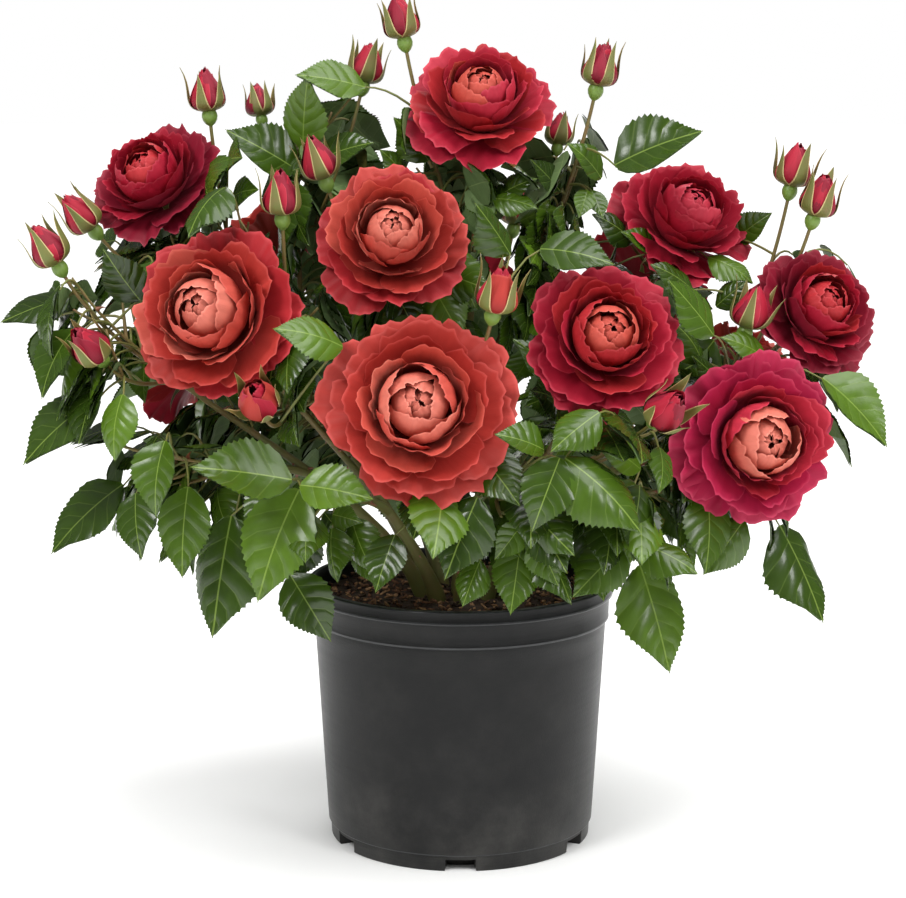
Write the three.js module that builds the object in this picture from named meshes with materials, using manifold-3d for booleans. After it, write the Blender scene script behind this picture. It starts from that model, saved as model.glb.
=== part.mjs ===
// A garden rose in full bloom, growing in a five-litre nursery pot.
// Millimetres, +Z up. The origin is on the ground, under the middle of the pot.
// The rose is a clump of canes. Each cane or bough is one limb, and each limb carries one shoot:
// a mass of leaves, blooms and buds that grow from one stem by a seeded rule and keep to their own space.

import * as THREE from "three";
import { mergeVertices } from "three/addons/utils/BufferGeometryUtils.js";
import Module from "manifold-3d";

const wasm = await Module();
wasm.setup();

// ---- Driving dimensions ----

const clearance = 0.3; // between pieces that touch

const pot = {
  rimRadius: 105,
  bandRadius: 102.4,
  bodyRadius: 100.6, // at the top of the tapered wall
  footRadius: 90,
  height: 180,
  lipHeight: 9,
  bandHeight: 26, // from the rim down to the foot of the band
  footHeight: 11,
  wall: 2.4,
  floor: 3,
  notches: 6,
  notchWidth: 21,
  notchHeight: 8,
  notchDepth: 13,
  segments: 32, // a multiple of four, so that pot and soil line up
};

const soil = { top: 170, lump: 2, flatRadius: 48, seed: 11 };

const cane = {
  footRing: 27, // the canes leave the soil about this far from the middle
  footRadius: 4.6,
  forkRadius: 3.3, // where a bough leaves its cane
  tipRadius: 2.3, // where a limb ends and its shoot's stem begins
  flare: 1.5,
  rise: 0.3, // share of a limb's span over which it turns
  sides: 5,
  steps: 4,
};

const stem = {
  endRadius: 1.7,
  twigRadius: 1.3,
  nodeSpacing: 19, // between leaves
  turn: 137.5, // degrees from one leaf to the next
  bareNeck: 0.8, // share of a flowering stem that carries leaves
  sides: 4,
  twigSides: 3,
  steps: 3,
  tries: 14, // ways a leaf may turn to find room
  nextTry: 79, // degrees between them
  shrink: 0.035, // how much smaller it is each time
  steepen: 0.12, // and how much more it leans up along its stem
};

const leaf = {
  bladeLength: 65,
  bladeWidth: 0.68, // of its length
  thickness: 0.022,
  stalkLength: 44,
  droop: 0.5,
  lift: 0.4, // how far a leaf leans up along its stem
  stalkHalf: 1.1, // half the width of a stalk
  neck: 0.035, // half the share of the stalk that each root takes
  stations: [0.66, 0.34], // shares of a stalk where its pairs of blades stand
  fiveFold: 0.5, // share of leaves that have two pairs
  apart: 5.5, // between one leaf's blades and another's
  siblingGap: 1.5, // between the blades of one leaf
  smallest: 24,
  woodGap: 3.5, // between a blade and the stems of its own shoot
};

const bud = { length: 36, width: 0.27, sides: 5 };
const bloomSides = 12; // six lobes

const space = {
  margin: 1.2, // a leaf keeps this far inside its own shoot's space
  limbGap: 5.5, // and this far from every limb
  stemReach: 14,
  bloomReach: 1.02, // of the bloom's radius
  bloomKeepOut: 0.84,
  budReach: 16,
  potGap: 4,
};

// The crown's outline: an egg that every leaf stays inside.
const crown = { middle: 320, halfWidth: 302, halfDepth: 228, rise: 206, drop: 178 };

// ---- The limbs and what they carry ----
// at: the middle of the bloom or, on a leafy shoot, its last leaf.  facing: the way it looks.
// foot: where its cane leaves the soil, in degrees. from and fork: the limb it forks from and how far along.
// split: the share of its line that is bare limb.  buds: where they stand.  tips: where long leaves reach.

const shoots = [
  { name: "front", at: [-26, -164, 323], facing: [0.02, -0.95, 0.3], bloom: 127, split: 0.5, foot: 272,
    buds: [[22, -150, 388]], tips: [] },
  { name: "left_front", at: [-158, -106, 374], facing: [-0.34, -0.88, 0.32], bloom: 114, split: 0.5, foot: 234,
    buds: [[-114, -80, 443], [-123, -170, 327]], tips: [[-178, -130, 210]] },
  { name: "middle", at: [-44, -75, 421], facing: [0.06, -0.88, 0.46], bloom: 100, split: 0.3,
    from: "top", fork: 0.24, buds: [[-92, -40, 464]], tips: [] },
  { name: "top", at: [14, 10, 507], facing: [0.04, -0.7, 0.71], bloom: 101, split: 0.46, foot: null,
    buds: [[-40, 30, 556]], tips: [] },
  { name: "right_front", at: [91, -116, 360], facing: [0.14, -0.88, 0.44], bloom: 101, split: 0.5, foot: 312,
    buds: [[124, -160, 319]], tips: [] },
  { name: "upper_left", at: [-209, 10, 454], facing: [-0.36, -0.66, 0.66], bloom: 94, split: 0.5, foot: 162,
    buds: [[-252, -10, 428], [-172, 30, 507]], tips: [] },
  { name: "upper_right", at: [156, 30, 427], facing: [0.3, -0.66, 0.68], bloom: 100, split: 0.3,
    from: "back_right", fork: 0.36, buds: [], tips: [] },
  { name: "right", at: [240, -20, 369], facing: [0.42, -0.76, 0.5], bloom: 93, split: 0.56, foot: 350,
    buds: [[225, 10, 457], [239, -10, 438]], tips: [[293, -40, 278]] },
  { name: "low_right", at: [191, -96, 291], facing: [0.26, -0.95, 0.1], bloom: 113, split: 0.3,
    from: "right", fork: 0.4, buds: [[191, -40, 366]], tips: [[243, -60, 166]] },
  { name: "far_left", at: [-252, -60, 392], facing: [-0.5, -0.1, 0.86], split: 0.5, foot: 198,
    buds: [[-266, -60, 409], [-233, -110, 352]], tips: [[-296, -60, 367]] },
  { name: "left_crown", at: [-112, 36, 478], facing: [-0.1, 0, 1], split: 0.3,
    from: "upper_left", fork: 0.44, buds: [[-140, 60, 505], [-65, 60, 526]], tips: [[-106, 40, 520]] },
  { name: "right_crown", at: [84, 28, 474], facing: [0.2, 0, 1], split: 0.3,
    from: "top", fork: 0.34, buds: [[94, 20, 524], [69, 60, 485]], tips: [[162, 40, 486]] },
  { name: "skirt_front_left", at: [-100, -122, 262], facing: [-0.5, -0.8, 0.3], split: 0.36,
    from: "left_front", fork: 0.3, buds: [], tips: [[-128, -170, 205], [-83, -130, 168]] },
  { name: "skirt_front", at: [24, -134, 262], facing: [0.1, -0.95, 0.3], split: 0.36,
    from: "front", fork: 0.3, buds: [], tips: [[31, -150, 191]] },
  { name: "skirt_front_right", at: [116, -120, 262], facing: [0.6, -0.75, 0.3], split: 0.36,
    from: "right_front", fork: 0.3, buds: [], tips: [[135, -120, 147]] },
  { name: "skirt_right", at: [186, -34, 262], facing: [0.9, -0.25, 0.3], split: 0.36,
    from: "right", fork: 0.24, buds: [], tips: [] },
  { name: "skirt_left", at: [-190, -78, 280], facing: [-0.9, -0.3, 0.3], split: 0.36,
    from: "far_left", fork: 0.36, buds: [], tips: [[-288, -60, 277], [-266, -90, 221], [-160, -120, 171]] },
  { name: "back", at: [0, 176, 352], facing: [0, 0.9, 0.44], bloom: 104, split: 0.5, foot: 78,
    buds: [[42, 150, 422]], tips: [] },
  { name: "back_left", at: [-138, 134, 396], facing: [-0.5, 0.7, 0.5], bloom: 98, split: 0.5, foot: 120,
    buds: [], tips: [] },
  { name: "back_right", at: [140, 140, 376], facing: [0.5, 0.7, 0.5], bloom: 98, split: 0.5, foot: 34,
    buds: [], tips: [] },
  { name: "side_left", at: [-204, 84, 322], facing: [-0.8, 0.5, 0.32], bloom: 94, split: 0.32,
    from: "back_left", fork: 0.4, buds: [], tips: [] },
  { name: "side_right", at: [212, 84, 306], facing: [0.8, 0.5, 0.32], bloom: 94, split: 0.32,
    from: "back_right", fork: 0.26, buds: [], tips: [] },
  { name: "skirt_back_left", at: [-92, 136, 262], facing: [-0.5, 0.8, 0.3], split: 0.36,
    from: "back_left", fork: 0.24, buds: [], tips: [] },
  { name: "skirt_back_right", at: [86, 140, 262], facing: [0.5, 0.8, 0.3], split: 0.36,
    from: "back", fork: 0.24, buds: [], tips: [] },
];

// ---- Materials ----

function paint(colour, roughness, metalness = 0) {
  return new THREE.MeshStandardMaterial({ color: colour, roughness, metalness });
}

const materials = {
  pot: paint(0x26282a, 0.55),
  soil: paint(0x3a2a20, 0.95),
  cane: paint(0x6b5a30, 0.7),
  flowering: paint(0x9c2c33, 0.6),
  leafy: paint(0x3c6b2c, 0.45),
};

// ---- Small helpers ----

// The same numbers every time, from 0 to 1.
function randomFrom(seed) {
  let state = seed >>> 0;
  return () => {
    state = (Math.imul(state, 1664525) + 1013904223) >>> 0;
    return state / 4294967296;
  };
}

const vec = (x, y, z) => new THREE.Vector3(x, y, z);
const up = vec(0, 0, 1);
const degrees = (a) => (a * Math.PI) / 180;

// A vector square to d, as level as it can be.
function levelSide(d) {
  const side = new THREE.Vector3().crossVectors(d, up);
  return side.length() < 0.05 ? vec(1, 0, 0) : side.normalize();
}

// A closed mesh from rows of points that go round it, with a point to close each end.
function skin(rings, first, last) {
  const count = rings[0].length;
  const points = [first, ...rings.flat(), last];
  const at = (row, i) => 1 + row * count + (i % count);
  const faces = [];
  for (let i = 0; i < count; i++) {
    faces.push(0, at(0, i + 1), at(0, i));
    for (let row = 0; row + 1 < rings.length; row++) {
      faces.push(at(row, i), at(row, i + 1), at(row + 1, i + 1));
      faces.push(at(row, i), at(row + 1, i + 1), at(row + 1, i));
    }
    faces.push(points.length - 1, at(rings.length - 1, i), at(rings.length - 1, i + 1));
  }
  return new THREE.BufferGeometry().setFromPoints(points).setIndex(faces);
}

function solidFrom(geometry) {
  const bare = geometry.clone();
  bare.deleteAttribute("normal");
  bare.deleteAttribute("uv");
  const merged = mergeVertices(bare, 1e-4);
  return new wasm.Manifold(
    new wasm.Mesh({
      numProp: 3,
      vertProperties: merged.attributes.position.array,
      triVerts: new Uint32Array(merged.index.array),
    }),
  );
}

// The largest body of a solid, as a named mesh. Loose scraps are dropped.
function meshFrom(solid, name, material) {
  const bodies = solid.decompose().sort((a, b) => b.volume() - a.volume());
  const made = bodies[0].getMesh();
  const geometry = new THREE.BufferGeometry();
  geometry.setAttribute("position", new THREE.BufferAttribute(new Float32Array(made.vertProperties), 3));
  geometry.setIndex(new THREE.BufferAttribute(new Uint32Array(made.triVerts), 1));
  const mesh = new THREE.Mesh(geometry, material);
  mesh.name = name;
  return mesh;
}

// A round bar through points, with a radius for each.
function bar(points, radii, sides, tip = points[points.length - 1]) {
  let side = null;
  const rings = points.map((p, i) => {
    const ahead = points[Math.min(i + 1, points.length - 1)];
    const behind = points[Math.max(i - 1, 0)];
    const along = ahead.clone().sub(behind).normalize();
    side = side ? side.sub(along.clone().multiplyScalar(side.dot(along))).normalize() : levelSide(along);
    const other = new THREE.Vector3().crossVectors(along, side);
    return Array.from({ length: sides }, (_, k) => {
      const a = (2 * Math.PI * k) / sides;
      return p
        .clone()
        .addScaledVector(side, radii[i] * Math.cos(a))
        .addScaledVector(other, radii[i] * Math.sin(a));
    });
  });
  return skin(rings, points[0], tip);
}

// A bar that narrows evenly from one radius to another.
function taper(points, wide, thin, sides) {
  const radii = points.map((_, i) => wide + ((thin - wide) * i) / (points.length - 1));
  return solidFrom(bar(points, radii, sides));
}

// ---- Pot and soil ----

function potSolid() {
  const inner = (r) => r - pot.wall;
  const bandFoot = pot.height - pot.bandHeight;
  const profile = [
    [0, 0],
    [pot.footRadius, 0],
    [pot.footRadius + 0.7, pot.footHeight],
    [pot.footRadius + 1.9, pot.footHeight + 1],
    [pot.bodyRadius, bandFoot],
    [pot.bandRadius, bandFoot + 1],
    [pot.bandRadius + 0.6, pot.height - pot.lipHeight],
    [pot.rimRadius, pot.height - pot.lipHeight + 0.8],
    [pot.rimRadius, pot.height - 1],
    [pot.rimRadius - 1, pot.height],
    [inner(pot.bandRadius), pot.height],
    [inner(pot.bodyRadius), bandFoot],
    [inner(pot.footRadius + 1.5), pot.floor],
    [0, pot.floor],
  ].map(([r, z]) => new THREE.Vector2(r, z));
  const shell = new THREE.LatheGeometry(profile, pot.segments).rotateX(Math.PI / 2);
  let solid = solidFrom(shell);
  for (let i = 0; i < pot.notches; i++) {
    const notch = new THREE.BoxGeometry(pot.notchDepth + 6, pot.notchWidth, 2 * pot.notchHeight)
      .translate(pot.footRadius + 3 - pot.notchDepth / 2, 0, 0)
      .rotateZ(degrees(-90 + (360 / pot.notches) * i));
    solid = solid.subtract(solidFrom(notch));
  }
  return solid;
}

function soilSolid() {
  const random = randomFrom(soil.seed);
  const wallAt = (z) =>
    pot.footRadius + 1.5 - pot.wall - clearance +
    ((z - pot.floor) * (pot.bodyRadius - pot.footRadius - 1.5)) / (pot.height - pot.bandHeight - pot.floor);
  const edge = wallAt(pot.height - pot.bandHeight);
  const rows = [
    { radius: wallAt(pot.notchHeight + 1) - pot.notchDepth, z: pot.floor + clearance },
    { radius: wallAt(pot.notchHeight + 1) - pot.notchDepth, z: pot.notchHeight + clearance },
    { radius: wallAt(pot.notchHeight + 1), z: pot.notchHeight + 2 },
    { radius: edge, z: pot.height - pot.bandHeight - 1 },
    { radius: edge, z: soil.top - 3, lump: 0.4 },
    { radius: 0.72 * edge, z: soil.top, lump: 1 },
    { radius: soil.flatRadius, z: soil.top },
  ];
  const rings = rows.map(({ radius, z, lump = 0 }) =>
    Array.from({ length: pot.segments }, (_, k) => {
      const a = (2 * Math.PI * k) / pot.segments;
      return vec(radius * Math.cos(a), radius * Math.sin(a), z + soil.lump * lump * (random() - 0.7));
    }),
  );
  return solidFrom(skin(rings, vec(0, 0, pot.floor + clearance), vec(0, 0, soil.top)));
}

// ---- The lines that limbs and stems follow ----

function lineOf(shoot, lines) {
  const facing = vec(...shoot.facing).normalize();
  const end = vec(...shoot.at).addScaledVector(facing, shoot.bloom ? -0.27 * shoot.bloom : 0);
  const parent = shoot.from ? lines[shoot.from] : null;
  const ring = shoot.foot === null ? 0 : cane.footRing;
  const start = parent
    ? parent.curve.getPoint(shoot.fork)
    : vec(ring * Math.cos(degrees(shoot.foot)), ring * Math.sin(degrees(shoot.foot)), soil.top + clearance);
  const span = start.distanceTo(end);
  const direct = end.clone().sub(start).normalize();
  const leave = parent
    ? parent.curve.getTangent(shoot.fork).addScaledVector(direct, 0.8)
    : direct.clone().add(up);
  const arrive = direct.clone().multiplyScalar(0.6).addScaledVector(facing, 0.5).addScaledVector(up, 0.3);
  const curve = new THREE.CubicBezierCurve3(
    start,
    start.clone().addScaledVector(leave.normalize(), cane.rise * span),
    end.clone().addScaledVector(arrive.normalize(), -0.3 * span),
    end,
  );
  return { curve, facing, end, span, footRadius: parent ? cane.forkRadius : cane.footRadius };
}

const lines = {};
const waiting = [...shoots];
while (waiting.length) {
  const shoot = waiting.shift();
  if (shoot.from && !lines[shoot.from]) waiting.push(shoot);
  else lines[shoot.name] = lineOf(shoot, lines);
}

function limbRadius(shoot, share) {
  const foot = lines[shoot.name].footRadius;
  const flare = shoot.from ? 0 : cane.flare * Math.max(0, 1 - share * cane.steps);
  return foot + (cane.tipRadius - foot) * share + flare;
}

function limbPoints(shoot) {
  return Array.from({ length: cane.steps + 1 }, (_, i) =>
    lines[shoot.name].curve.getPoint((shoot.split * i) / cane.steps),
  );
}

// A limb from the soil starts lower, so that it can be cut flat at the ground.
function limbSolid(shoot, extra = 0) {
  const points = limbPoints(shoot);
  const radii = points.map((_, i) => limbRadius(shoot, i / cane.steps) + extra);
  if (shoot.from) return solidFrom(bar(points, radii, cane.sides));
  points[0].addScaledVector(points[1].clone().sub(points[0]).normalize(), -8);
  return solidFrom(bar(points, radii, cane.sides)).trimByPlane([0, 0, 1], soil.top + clearance - extra);
}

// ---- The rule that shoots grow by ----

// Where a bud's stalk leaves the stem, and the bend it makes.
function budLine(shoot, place) {
  const { curve } = lines[shoot.name];
  const base = vec(...place);
  const start = curve.getPoint(shoot.split + (1 - shoot.split) * 0.4);
  const span = start.distanceTo(base);
  const lean = base.clone().sub(start).normalize().add(vec(0, 0, 0.5)).normalize();
  const foot = base.clone().addScaledVector(lean, -bud.length / 2);
  const bend = foot.clone().addScaledVector(lean, -0.4 * span);
  const stalk = new THREE.QuadraticBezierCurve3(start, bend, foot);
  return { points: [0, 1, 2, 3].map((i) => stalk.getPoint(i / 3)), lean };
}

// What each shoot takes up: round-ended bars along its stems, and balls round its blooms and buds.
function claimOf(shoot) {
  const { curve, facing, end } = lines[shoot.name];
  const along = [0, 1, 2, 3, 4].map((i) => curve.getPoint(shoot.split + ((1 - shoot.split) * i) / 4));
  const claim = along.slice(1).map((p, i) => ({ a: along[i], b: p, r: space.stemReach }));
  if (shoot.bloom) {
    const centre = end.clone().addScaledVector(facing, 0.27 * shoot.bloom);
    claim.push({ a: centre, b: centre, r: (space.bloomReach * shoot.bloom) / 2, bloom: true });
  }
  for (const place of shoot.buds) {
    const { points } = budLine(shoot, place);
    points.slice(1).forEach((p, i) => claim.push({ a: points[i], b: p, r: 4 }));
    const centre = vec(...place);
    claim.push({ a: centre, b: centre, r: space.budReach });
  }
  for (const tip of shoot.tips) {
    const [a, b] = [curve.getPoint(0.5 + 0.5 * shoot.split), vec(...tip)];
    claim.push({ a, b, r: space.stemReach / 2 });
  }
  return claim;
}

function distanceTo({ a, b, r }, p) {
  const [lx, ly, lz] = [b.x - a.x, b.y - a.y, b.z - a.z];
  const [px, py, pz] = [p.x - a.x, p.y - a.y, p.z - a.z];
  const square = lx * lx + ly * ly + lz * lz;
  const t = square < 1e-9 ? 0 : Math.min(1, Math.max(0, (px * lx + py * ly + pz * lz) / square));
  return Math.hypot(px - t * lx, py - t * ly, pz - t * lz) - r;
}

const claims = Object.fromEntries(shoots.map((s) => [s.name, claimOf(s)]));
const limbBars = shoots.flatMap((s) => {
  const points = limbPoints(s);
  return points.slice(1).map((p, i) => ({ a: points[i], b: p, r: limbRadius(s, i / cane.steps) }));
});
const bloomBalls = Object.values(claims).flat().filter((c) => c.bloom);
const nearest = (name, p) => Math.min(...claims[name].map((c) => distanceTo(c, p)));

// A point may be used by a shoot if no other shoot is nearer, and it is clear of limbs, blooms and pot.
function isFree(name, p) {
  const height = (p.z - crown.middle) / (p.z > crown.middle ? crown.rise : crown.drop);
  if (Math.hypot(p.x / crown.halfWidth, p.y / crown.halfDepth, height) > 1) return false;
  if (Math.hypot(p.x, p.y) < pot.rimRadius + space.potGap && p.z < pot.height + space.potGap) return false;
  const own = nearest(name, p);
  if (shoots.some((s) => s.name !== name && nearest(s.name, p) < own + 2 * space.margin)) return false;
  if (limbBars.some((b) => distanceTo(b, p) < space.limbGap)) return false;
  return !bloomBalls.some((b) => p.distanceTo(b.a) < b.r * space.bloomKeepOut);
}

// A leaf along a stalk: one blade at its end and pairs of them at stations along it, all in about one plane.
// It turns its face out from the middle of the plant, and towards the light.
function leafOn(stalkAt, along, length, pairs, droop, light) {
  const end = stalkAt(1);
  const side = new THREE.Vector3().crossVectors(along, vec(end.x, end.y, 0).normalize().add(light)).normalize();
  const face = new THREE.Vector3().crossVectors(side, along);
  const blades = [{ share: 1, hand: 0, root: end, along, side, length }];
  for (let i = 0; i < pairs; i++) {
    for (const hand of [1, -1]) {
      const share = leaf.stations[i];
      const out = side.clone().multiplyScalar(hand).addScaledVector(along, 0.35 - 0.3 * i);
      const way = out.addScaledVector(up, -0.4 * droop).normalize();
      const edge = new THREE.Vector3().crossVectors(way, face).normalize();
      const size = length * (0.82 - 0.12 * i);
      blades.push({ share, hand, root: stalkAt(share), along: way, side: edge, length: size });
    }
  }
  return { stalkAt, stalk: [0, 0.5, 1].map(stalkAt), side, shares: leaf.stations.slice(0, pairs), blades };
}

// One leaf: its stalk leaves the stem and bends down.
function planLeaf(root, away, size, random) {
  const droop = leaf.droop * (0.5 + random());
  const length = leaf.bladeLength * size * (0.85 + 0.3 * random());
  const light = vec(random() - 0.5, random() - 0.5, 0.25 + 0.4 * random());
  const pairs = random() < leaf.fiveFold ? 2 : 1;
  const reach = leaf.stalkLength * size * (0.5 + 0.35 * pairs + 0.3 * random());
  const stalkAt = (s) => root.clone().addScaledVector(away, reach * s).addScaledVector(up, -droop * reach * s * s);
  const along = stalkAt(1).sub(stalkAt(0.8)).normalize().addScaledVector(up, -droop).normalize();
  return leafOn(stalkAt, along, length, pairs, droop, light);
}

// A leaf that must reach a given tip, with its face turned to the front.
function planTip(shoot, tip) {
  const target = vec(...tip);
  const { curve } = lines[shoot.name];
  const places = Array.from({ length: 21 }, (_, i) => shoot.split + (1 - shoot.split) * (0.05 + 0.04 * i));
  const root = places
    .map((t) => curve.getPoint(t))
    .sort((a, b) => a.distanceTo(target) - b.distanceTo(target))[0];
  const direct = target.clone().sub(root).normalize();
  const along = direct.clone().addScaledVector(up, -leaf.droop).normalize();
  const foot = target.clone().addScaledVector(along, -leaf.bladeLength);
  const bend = root.clone().lerp(foot, 0.6).addScaledVector(up, 0.18 * root.distanceTo(foot));
  const line = new THREE.QuadraticBezierCurve3(root, bend, foot);
  return leafOn((s) => line.getPoint(s), along, leaf.bladeLength, 1, leaf.droop, vec(0, -1.4, 0.9));
}

// Points over a blade, to test whether it has room.
const bladeGrid = [[1, 0], [0.8, 0], [0.6, 0], [0.4, 0], [0.22, 0]].concat(
  [[0.74, 0.5], [0.45, 1.05], [0.24, 0.6], [0.45, 0.5]].flatMap(([s, w]) => [[s, w], [s, -w]]),
);

function bladePoints({ root, along, side, length }) {
  const half = (leaf.bladeWidth * length) / 2;
  return bladeGrid.map(([s, w]) =>
    root.clone().addScaledVector(along, s * length).addScaledVector(side, w * half),
  );
}

// A blade's four corners, flat in the plane of its leaf.
function cornersOf({ root, along, side, length }, plan) {
  const half = 0.6 * leaf.bladeWidth;
  return [[0.1, 0], [0.44, half], [1, 0], [0.44, -half]].map(([s, w]) => {
    const p = root.clone().addScaledVector(along, s * length).addScaledVector(side, w * length);
    return [p.dot(plan.side), p.dot(plan.blades[0].along)];
  });
}

// Whether two flat shapes with straight edges are apart: 5.5some edge of one has all of the other beyond it.
function areApart(one, other) {
  return [one, other].some((shape) =>
    shape.some(([x, y], i) => {
      const [nx, ny] = shape[(i + 1) % shape.length];
      const size = Math.hypot(ny - y, x - nx);
      const [ex, ey] = [(ny - y) / size, (x - nx) / size];
      const reach = (points) => points.map(([px, py]) => (px - x) * ex + (py - y) * ey);
      const [a, b] = [reach(one), reach(other)];
      const gap = Math.max(Math.min(...b) - Math.max(...a), Math.min(...a) - Math.max(...b));
      return gap > leaf.siblingGap;
    }),
  );
}

// Makes the side blades of a leaf smaller until they clear its other blades, and drops what is then too small.
function fitBlades(plan) {
  const kept = [];
  plan.blades = plan.blades.filter((blade) => {
    const crosses = () => kept.some((other) => !areApart(other, cornersOf(blade, plan)));
    while (crosses() && blade.length > leaf.smallest) blade.length *= 0.92;
    if (crosses()) return false;
    kept.push(cornersOf(blade, plan));
    return true;
  });
}

// Every leaf and twig of a shoot. A leaf turns round its stem until it finds room, or is left out.
function growShoot(shoot, index) {
  const { curve, span } = lines[shoot.name];
  const from = shoot.split;
  const to = shoot.bloom ? from + (1 - from) * stem.bareNeck : 1;
  const count = Math.max(4, Math.round((span * (to - from)) / stem.nodeSpacing));
  const fits = (p) => isFree(shoot.name, p);
  const leaves = [];
  const twigs = [];
  const taken = [];
  const wood = claims[shoot.name].filter((c) => !c.bloom).map(({ a, b }) => ({ a, b, r: leaf.woodGap }));
  const keep = (plan) => {
    leaves.push(plan);
    taken.push(...plan.blades.flatMap(bladePoints), ...[0.4, 0.6, 0.8].map(plan.stalkAt));
  };
  const hasRoom = (p) =>
    isFree(shoot.name, p) &&
    !taken.some((other) => p.distanceTo(other) < leaf.apart) &&
    !wood.some((bar) => distanceTo(bar, p) < 0);
  const keepIfFits = (plan) => {
    if (!plan.stalk.slice(1).every(hasRoom)) return false;
    plan.blades = plan.blades.filter((blade) => bladePoints(blade).every(hasRoom));
    fitBlades(plan);
    if (plan.blades.length < 2 || plan.blades[0].hand !== 0) return false;
    keep(plan);
    return true;
  };
  for (const tip of shoot.tips) {
    const plan = planTip(shoot, tip);
    plan.blades = plan.blades.filter((blade) => blade.hand === 0 || bladePoints(blade).every(hasRoom));
    fitBlades(plan);
    keep(plan);
  }
  for (let i = 0; i < count; i++) {
    const random = randomFrom(977 * (index + 1) + 31 * i);
    const t = from + ((to - from) * (i + 0.55)) / count;
    const root = curve.getPoint(t);
    const along = curve.getTangent(t);
    const side = levelSide(along);
    const other = new THREE.Vector3().crossVectors(along, side);
    for (let k = 0; k < stem.tries; k++) {
      const turn = degrees(stem.turn * i + stem.nextTry * k + 40 * random());
      const out = side.clone().multiplyScalar(Math.cos(turn)).addScaledVector(other, Math.sin(turn));
      const away = out.addScaledVector(along, leaf.lift + stem.steepen * k).addScaledVector(up, 0.25).normalize();
      const size = (0.8 + 0.25 * random()) * (1 - stem.shrink * k);
      if (i % 3 === 1 && k < stem.tries / 2) {
        const twigEnd = root.clone().addScaledVector(away, 35 + 40 * random()).addScaledVector(up, 6);
        const middle = root.clone().add(twigEnd).multiplyScalar(0.5).addScaledVector(up, -2);
        if (![middle, twigEnd].every(fits)) continue;
        const way = twigEnd.clone().sub(middle).normalize();
        const across = levelSide(way);
        const ends = keepIfFits(planLeaf(twigEnd, way, size, random));
        const left = way.clone().multiplyScalar(0.5).addScaledVector(across, 0.9).normalize();
        const right = way.clone().multiplyScalar(0.5).addScaledVector(across, -0.9).normalize();
        const pairs = [keepIfFits(planLeaf(middle, left, 0.85 * size, random))];
        pairs.push(keepIfFits(planLeaf(middle.clone().lerp(twigEnd, 0.5), right, 0.85 * size, random)));
        if (!ends && !pairs.includes(true)) continue;
        twigs.push([root, middle, twigEnd]);
        wood.push({ a: root, b: middle, r: leaf.woodGap }, { a: middle, b: twigEnd, r: leaf.woodGap });
        break;
      }
      if (keepIfFits(planLeaf(root, away, size, random))) break;
    }
  }
  if (!shoot.bloom) {
    const way = curve.getTangent(1);
    way.addScaledVector(levelSide(way), 0.5).normalize();
    keepIfFits(planLeaf(curve.getPoint(0.97), way, 1, randomFrom(index + 1)));
  }
  return { leaves, twigs };
}

// ---- Solids of a shoot ----

// A whole leaf as one thin plate: the outline goes up the right edge of its stalk, round every blade, and back
// down the left edge. Each point of it has one copy above and one below, and they meet at a blade's tip.
function leafSolid({ stalkAt, side, shares, blades }) {
  const outline = [];
  const faces = [];
  const put = (p, normal, half) => outline.push({ p, normal, half }) - 1;
  const stops = [0, ...shares.slice().reverse().flatMap((s) => [s - leaf.neck, s + leaf.neck]), 1];
  const frames = [];
  let across = side.clone();
  for (let i = stops.length - 1; i >= 0; i--) {
    const ahead = stalkAt(Math.min(1, stops[i] + 0.05));
    const along = ahead.sub(stalkAt(Math.max(0, stops[i] - 0.05))).normalize();
    across = across.clone().addScaledVector(along, -across.dot(along)).normalize();
    frames[i] = { across, normal: new THREE.Vector3().crossVectors(across, along) };
  }
  const edgePoint = (i, hand) => {
    const p = stalkAt(stops[i]).addScaledVector(frames[i].across, hand * leaf.stalkHalf);
    return put(p, frames[i].normal, 0.8 * leaf.stalkHalf);
  };
  const goRound = ({ root, along, side: edge, length }, first) => {
    const normal = new THREE.Vector3().crossVectors(edge, along).normalize();
    const half = 0.6 * leaf.bladeWidth * length;
    const at = (s, w) => root.clone().addScaledVector(along, s * length).addScaledVector(edge, w * half);
    const thick = (leaf.thickness * length) / 2;
    const a = put(at(0.44, 1), normal, thick);
    const b = put(at(1, 0), normal, 0);
    const c = put(at(0.44, -1), normal, thick);
    faces.push([first, a, c + 1], [a, c, c + 1], [a, b, c]);
  };
  const edges = { 1: [], "-1": [] };
  const goAlong = (order, hand) => {
    order.forEach((i, step) => {
      edges[hand][i] = edgePoint(i, hand);
      const blade = blades.find((b) => b.hand === hand && Math.abs(b.share - stops[i]) < 1.5 * leaf.neck);
      if (blade && step % 2) goRound(blade, edges[hand][i]);
    });
  };
  const upward = stops.map((_, i) => i);
  goAlong(upward, 1);
  goRound(blades[0], edges[1][stops.length - 1]);
  goAlong(upward.reverse(), -1);
  for (let i = 0; i + 1 < stops.length; i++) {
    const [right, left] = [edges[1], edges[-1]];
    faces.push([right[i], right[i + 1], left[i + 1]], [right[i], left[i + 1], left[i]]);
  }
  const n = outline.length;
  const points = [1, -1].flatMap((way) =>
    outline.map(({ p, normal, half }) => p.clone().addScaledVector(normal, way * half)),
  );
  const below = (i) => (outline[i].half ? n + i : i);
  const index = faces.flatMap(([a, b, c]) => [a, b, c, below(a), below(c), below(b)]);
  for (let i = 0; i < n; i++) {
    const next = (i + 1) % n;
    if (outline[i].half) index.push(i, below(i), below(next));
    if (outline[next].half) index.push(i, below(next), next);
  }
  return solidFrom(new THREE.BufferGeometry().setFromPoints(points).setIndex(index));
}

// Radius, height and waviness of each row of its skin, as shares of the bloom's radius.
const bloomRows = [
  [0.16, -0.02, 0], [1.0, 0.33, 0.08], [0.84, 0.52, 0.04], [0.8, 0.7, 0.08], [0.5, 0.78, 0.03], [0.38, 0.96, 0.04],
];

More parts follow.
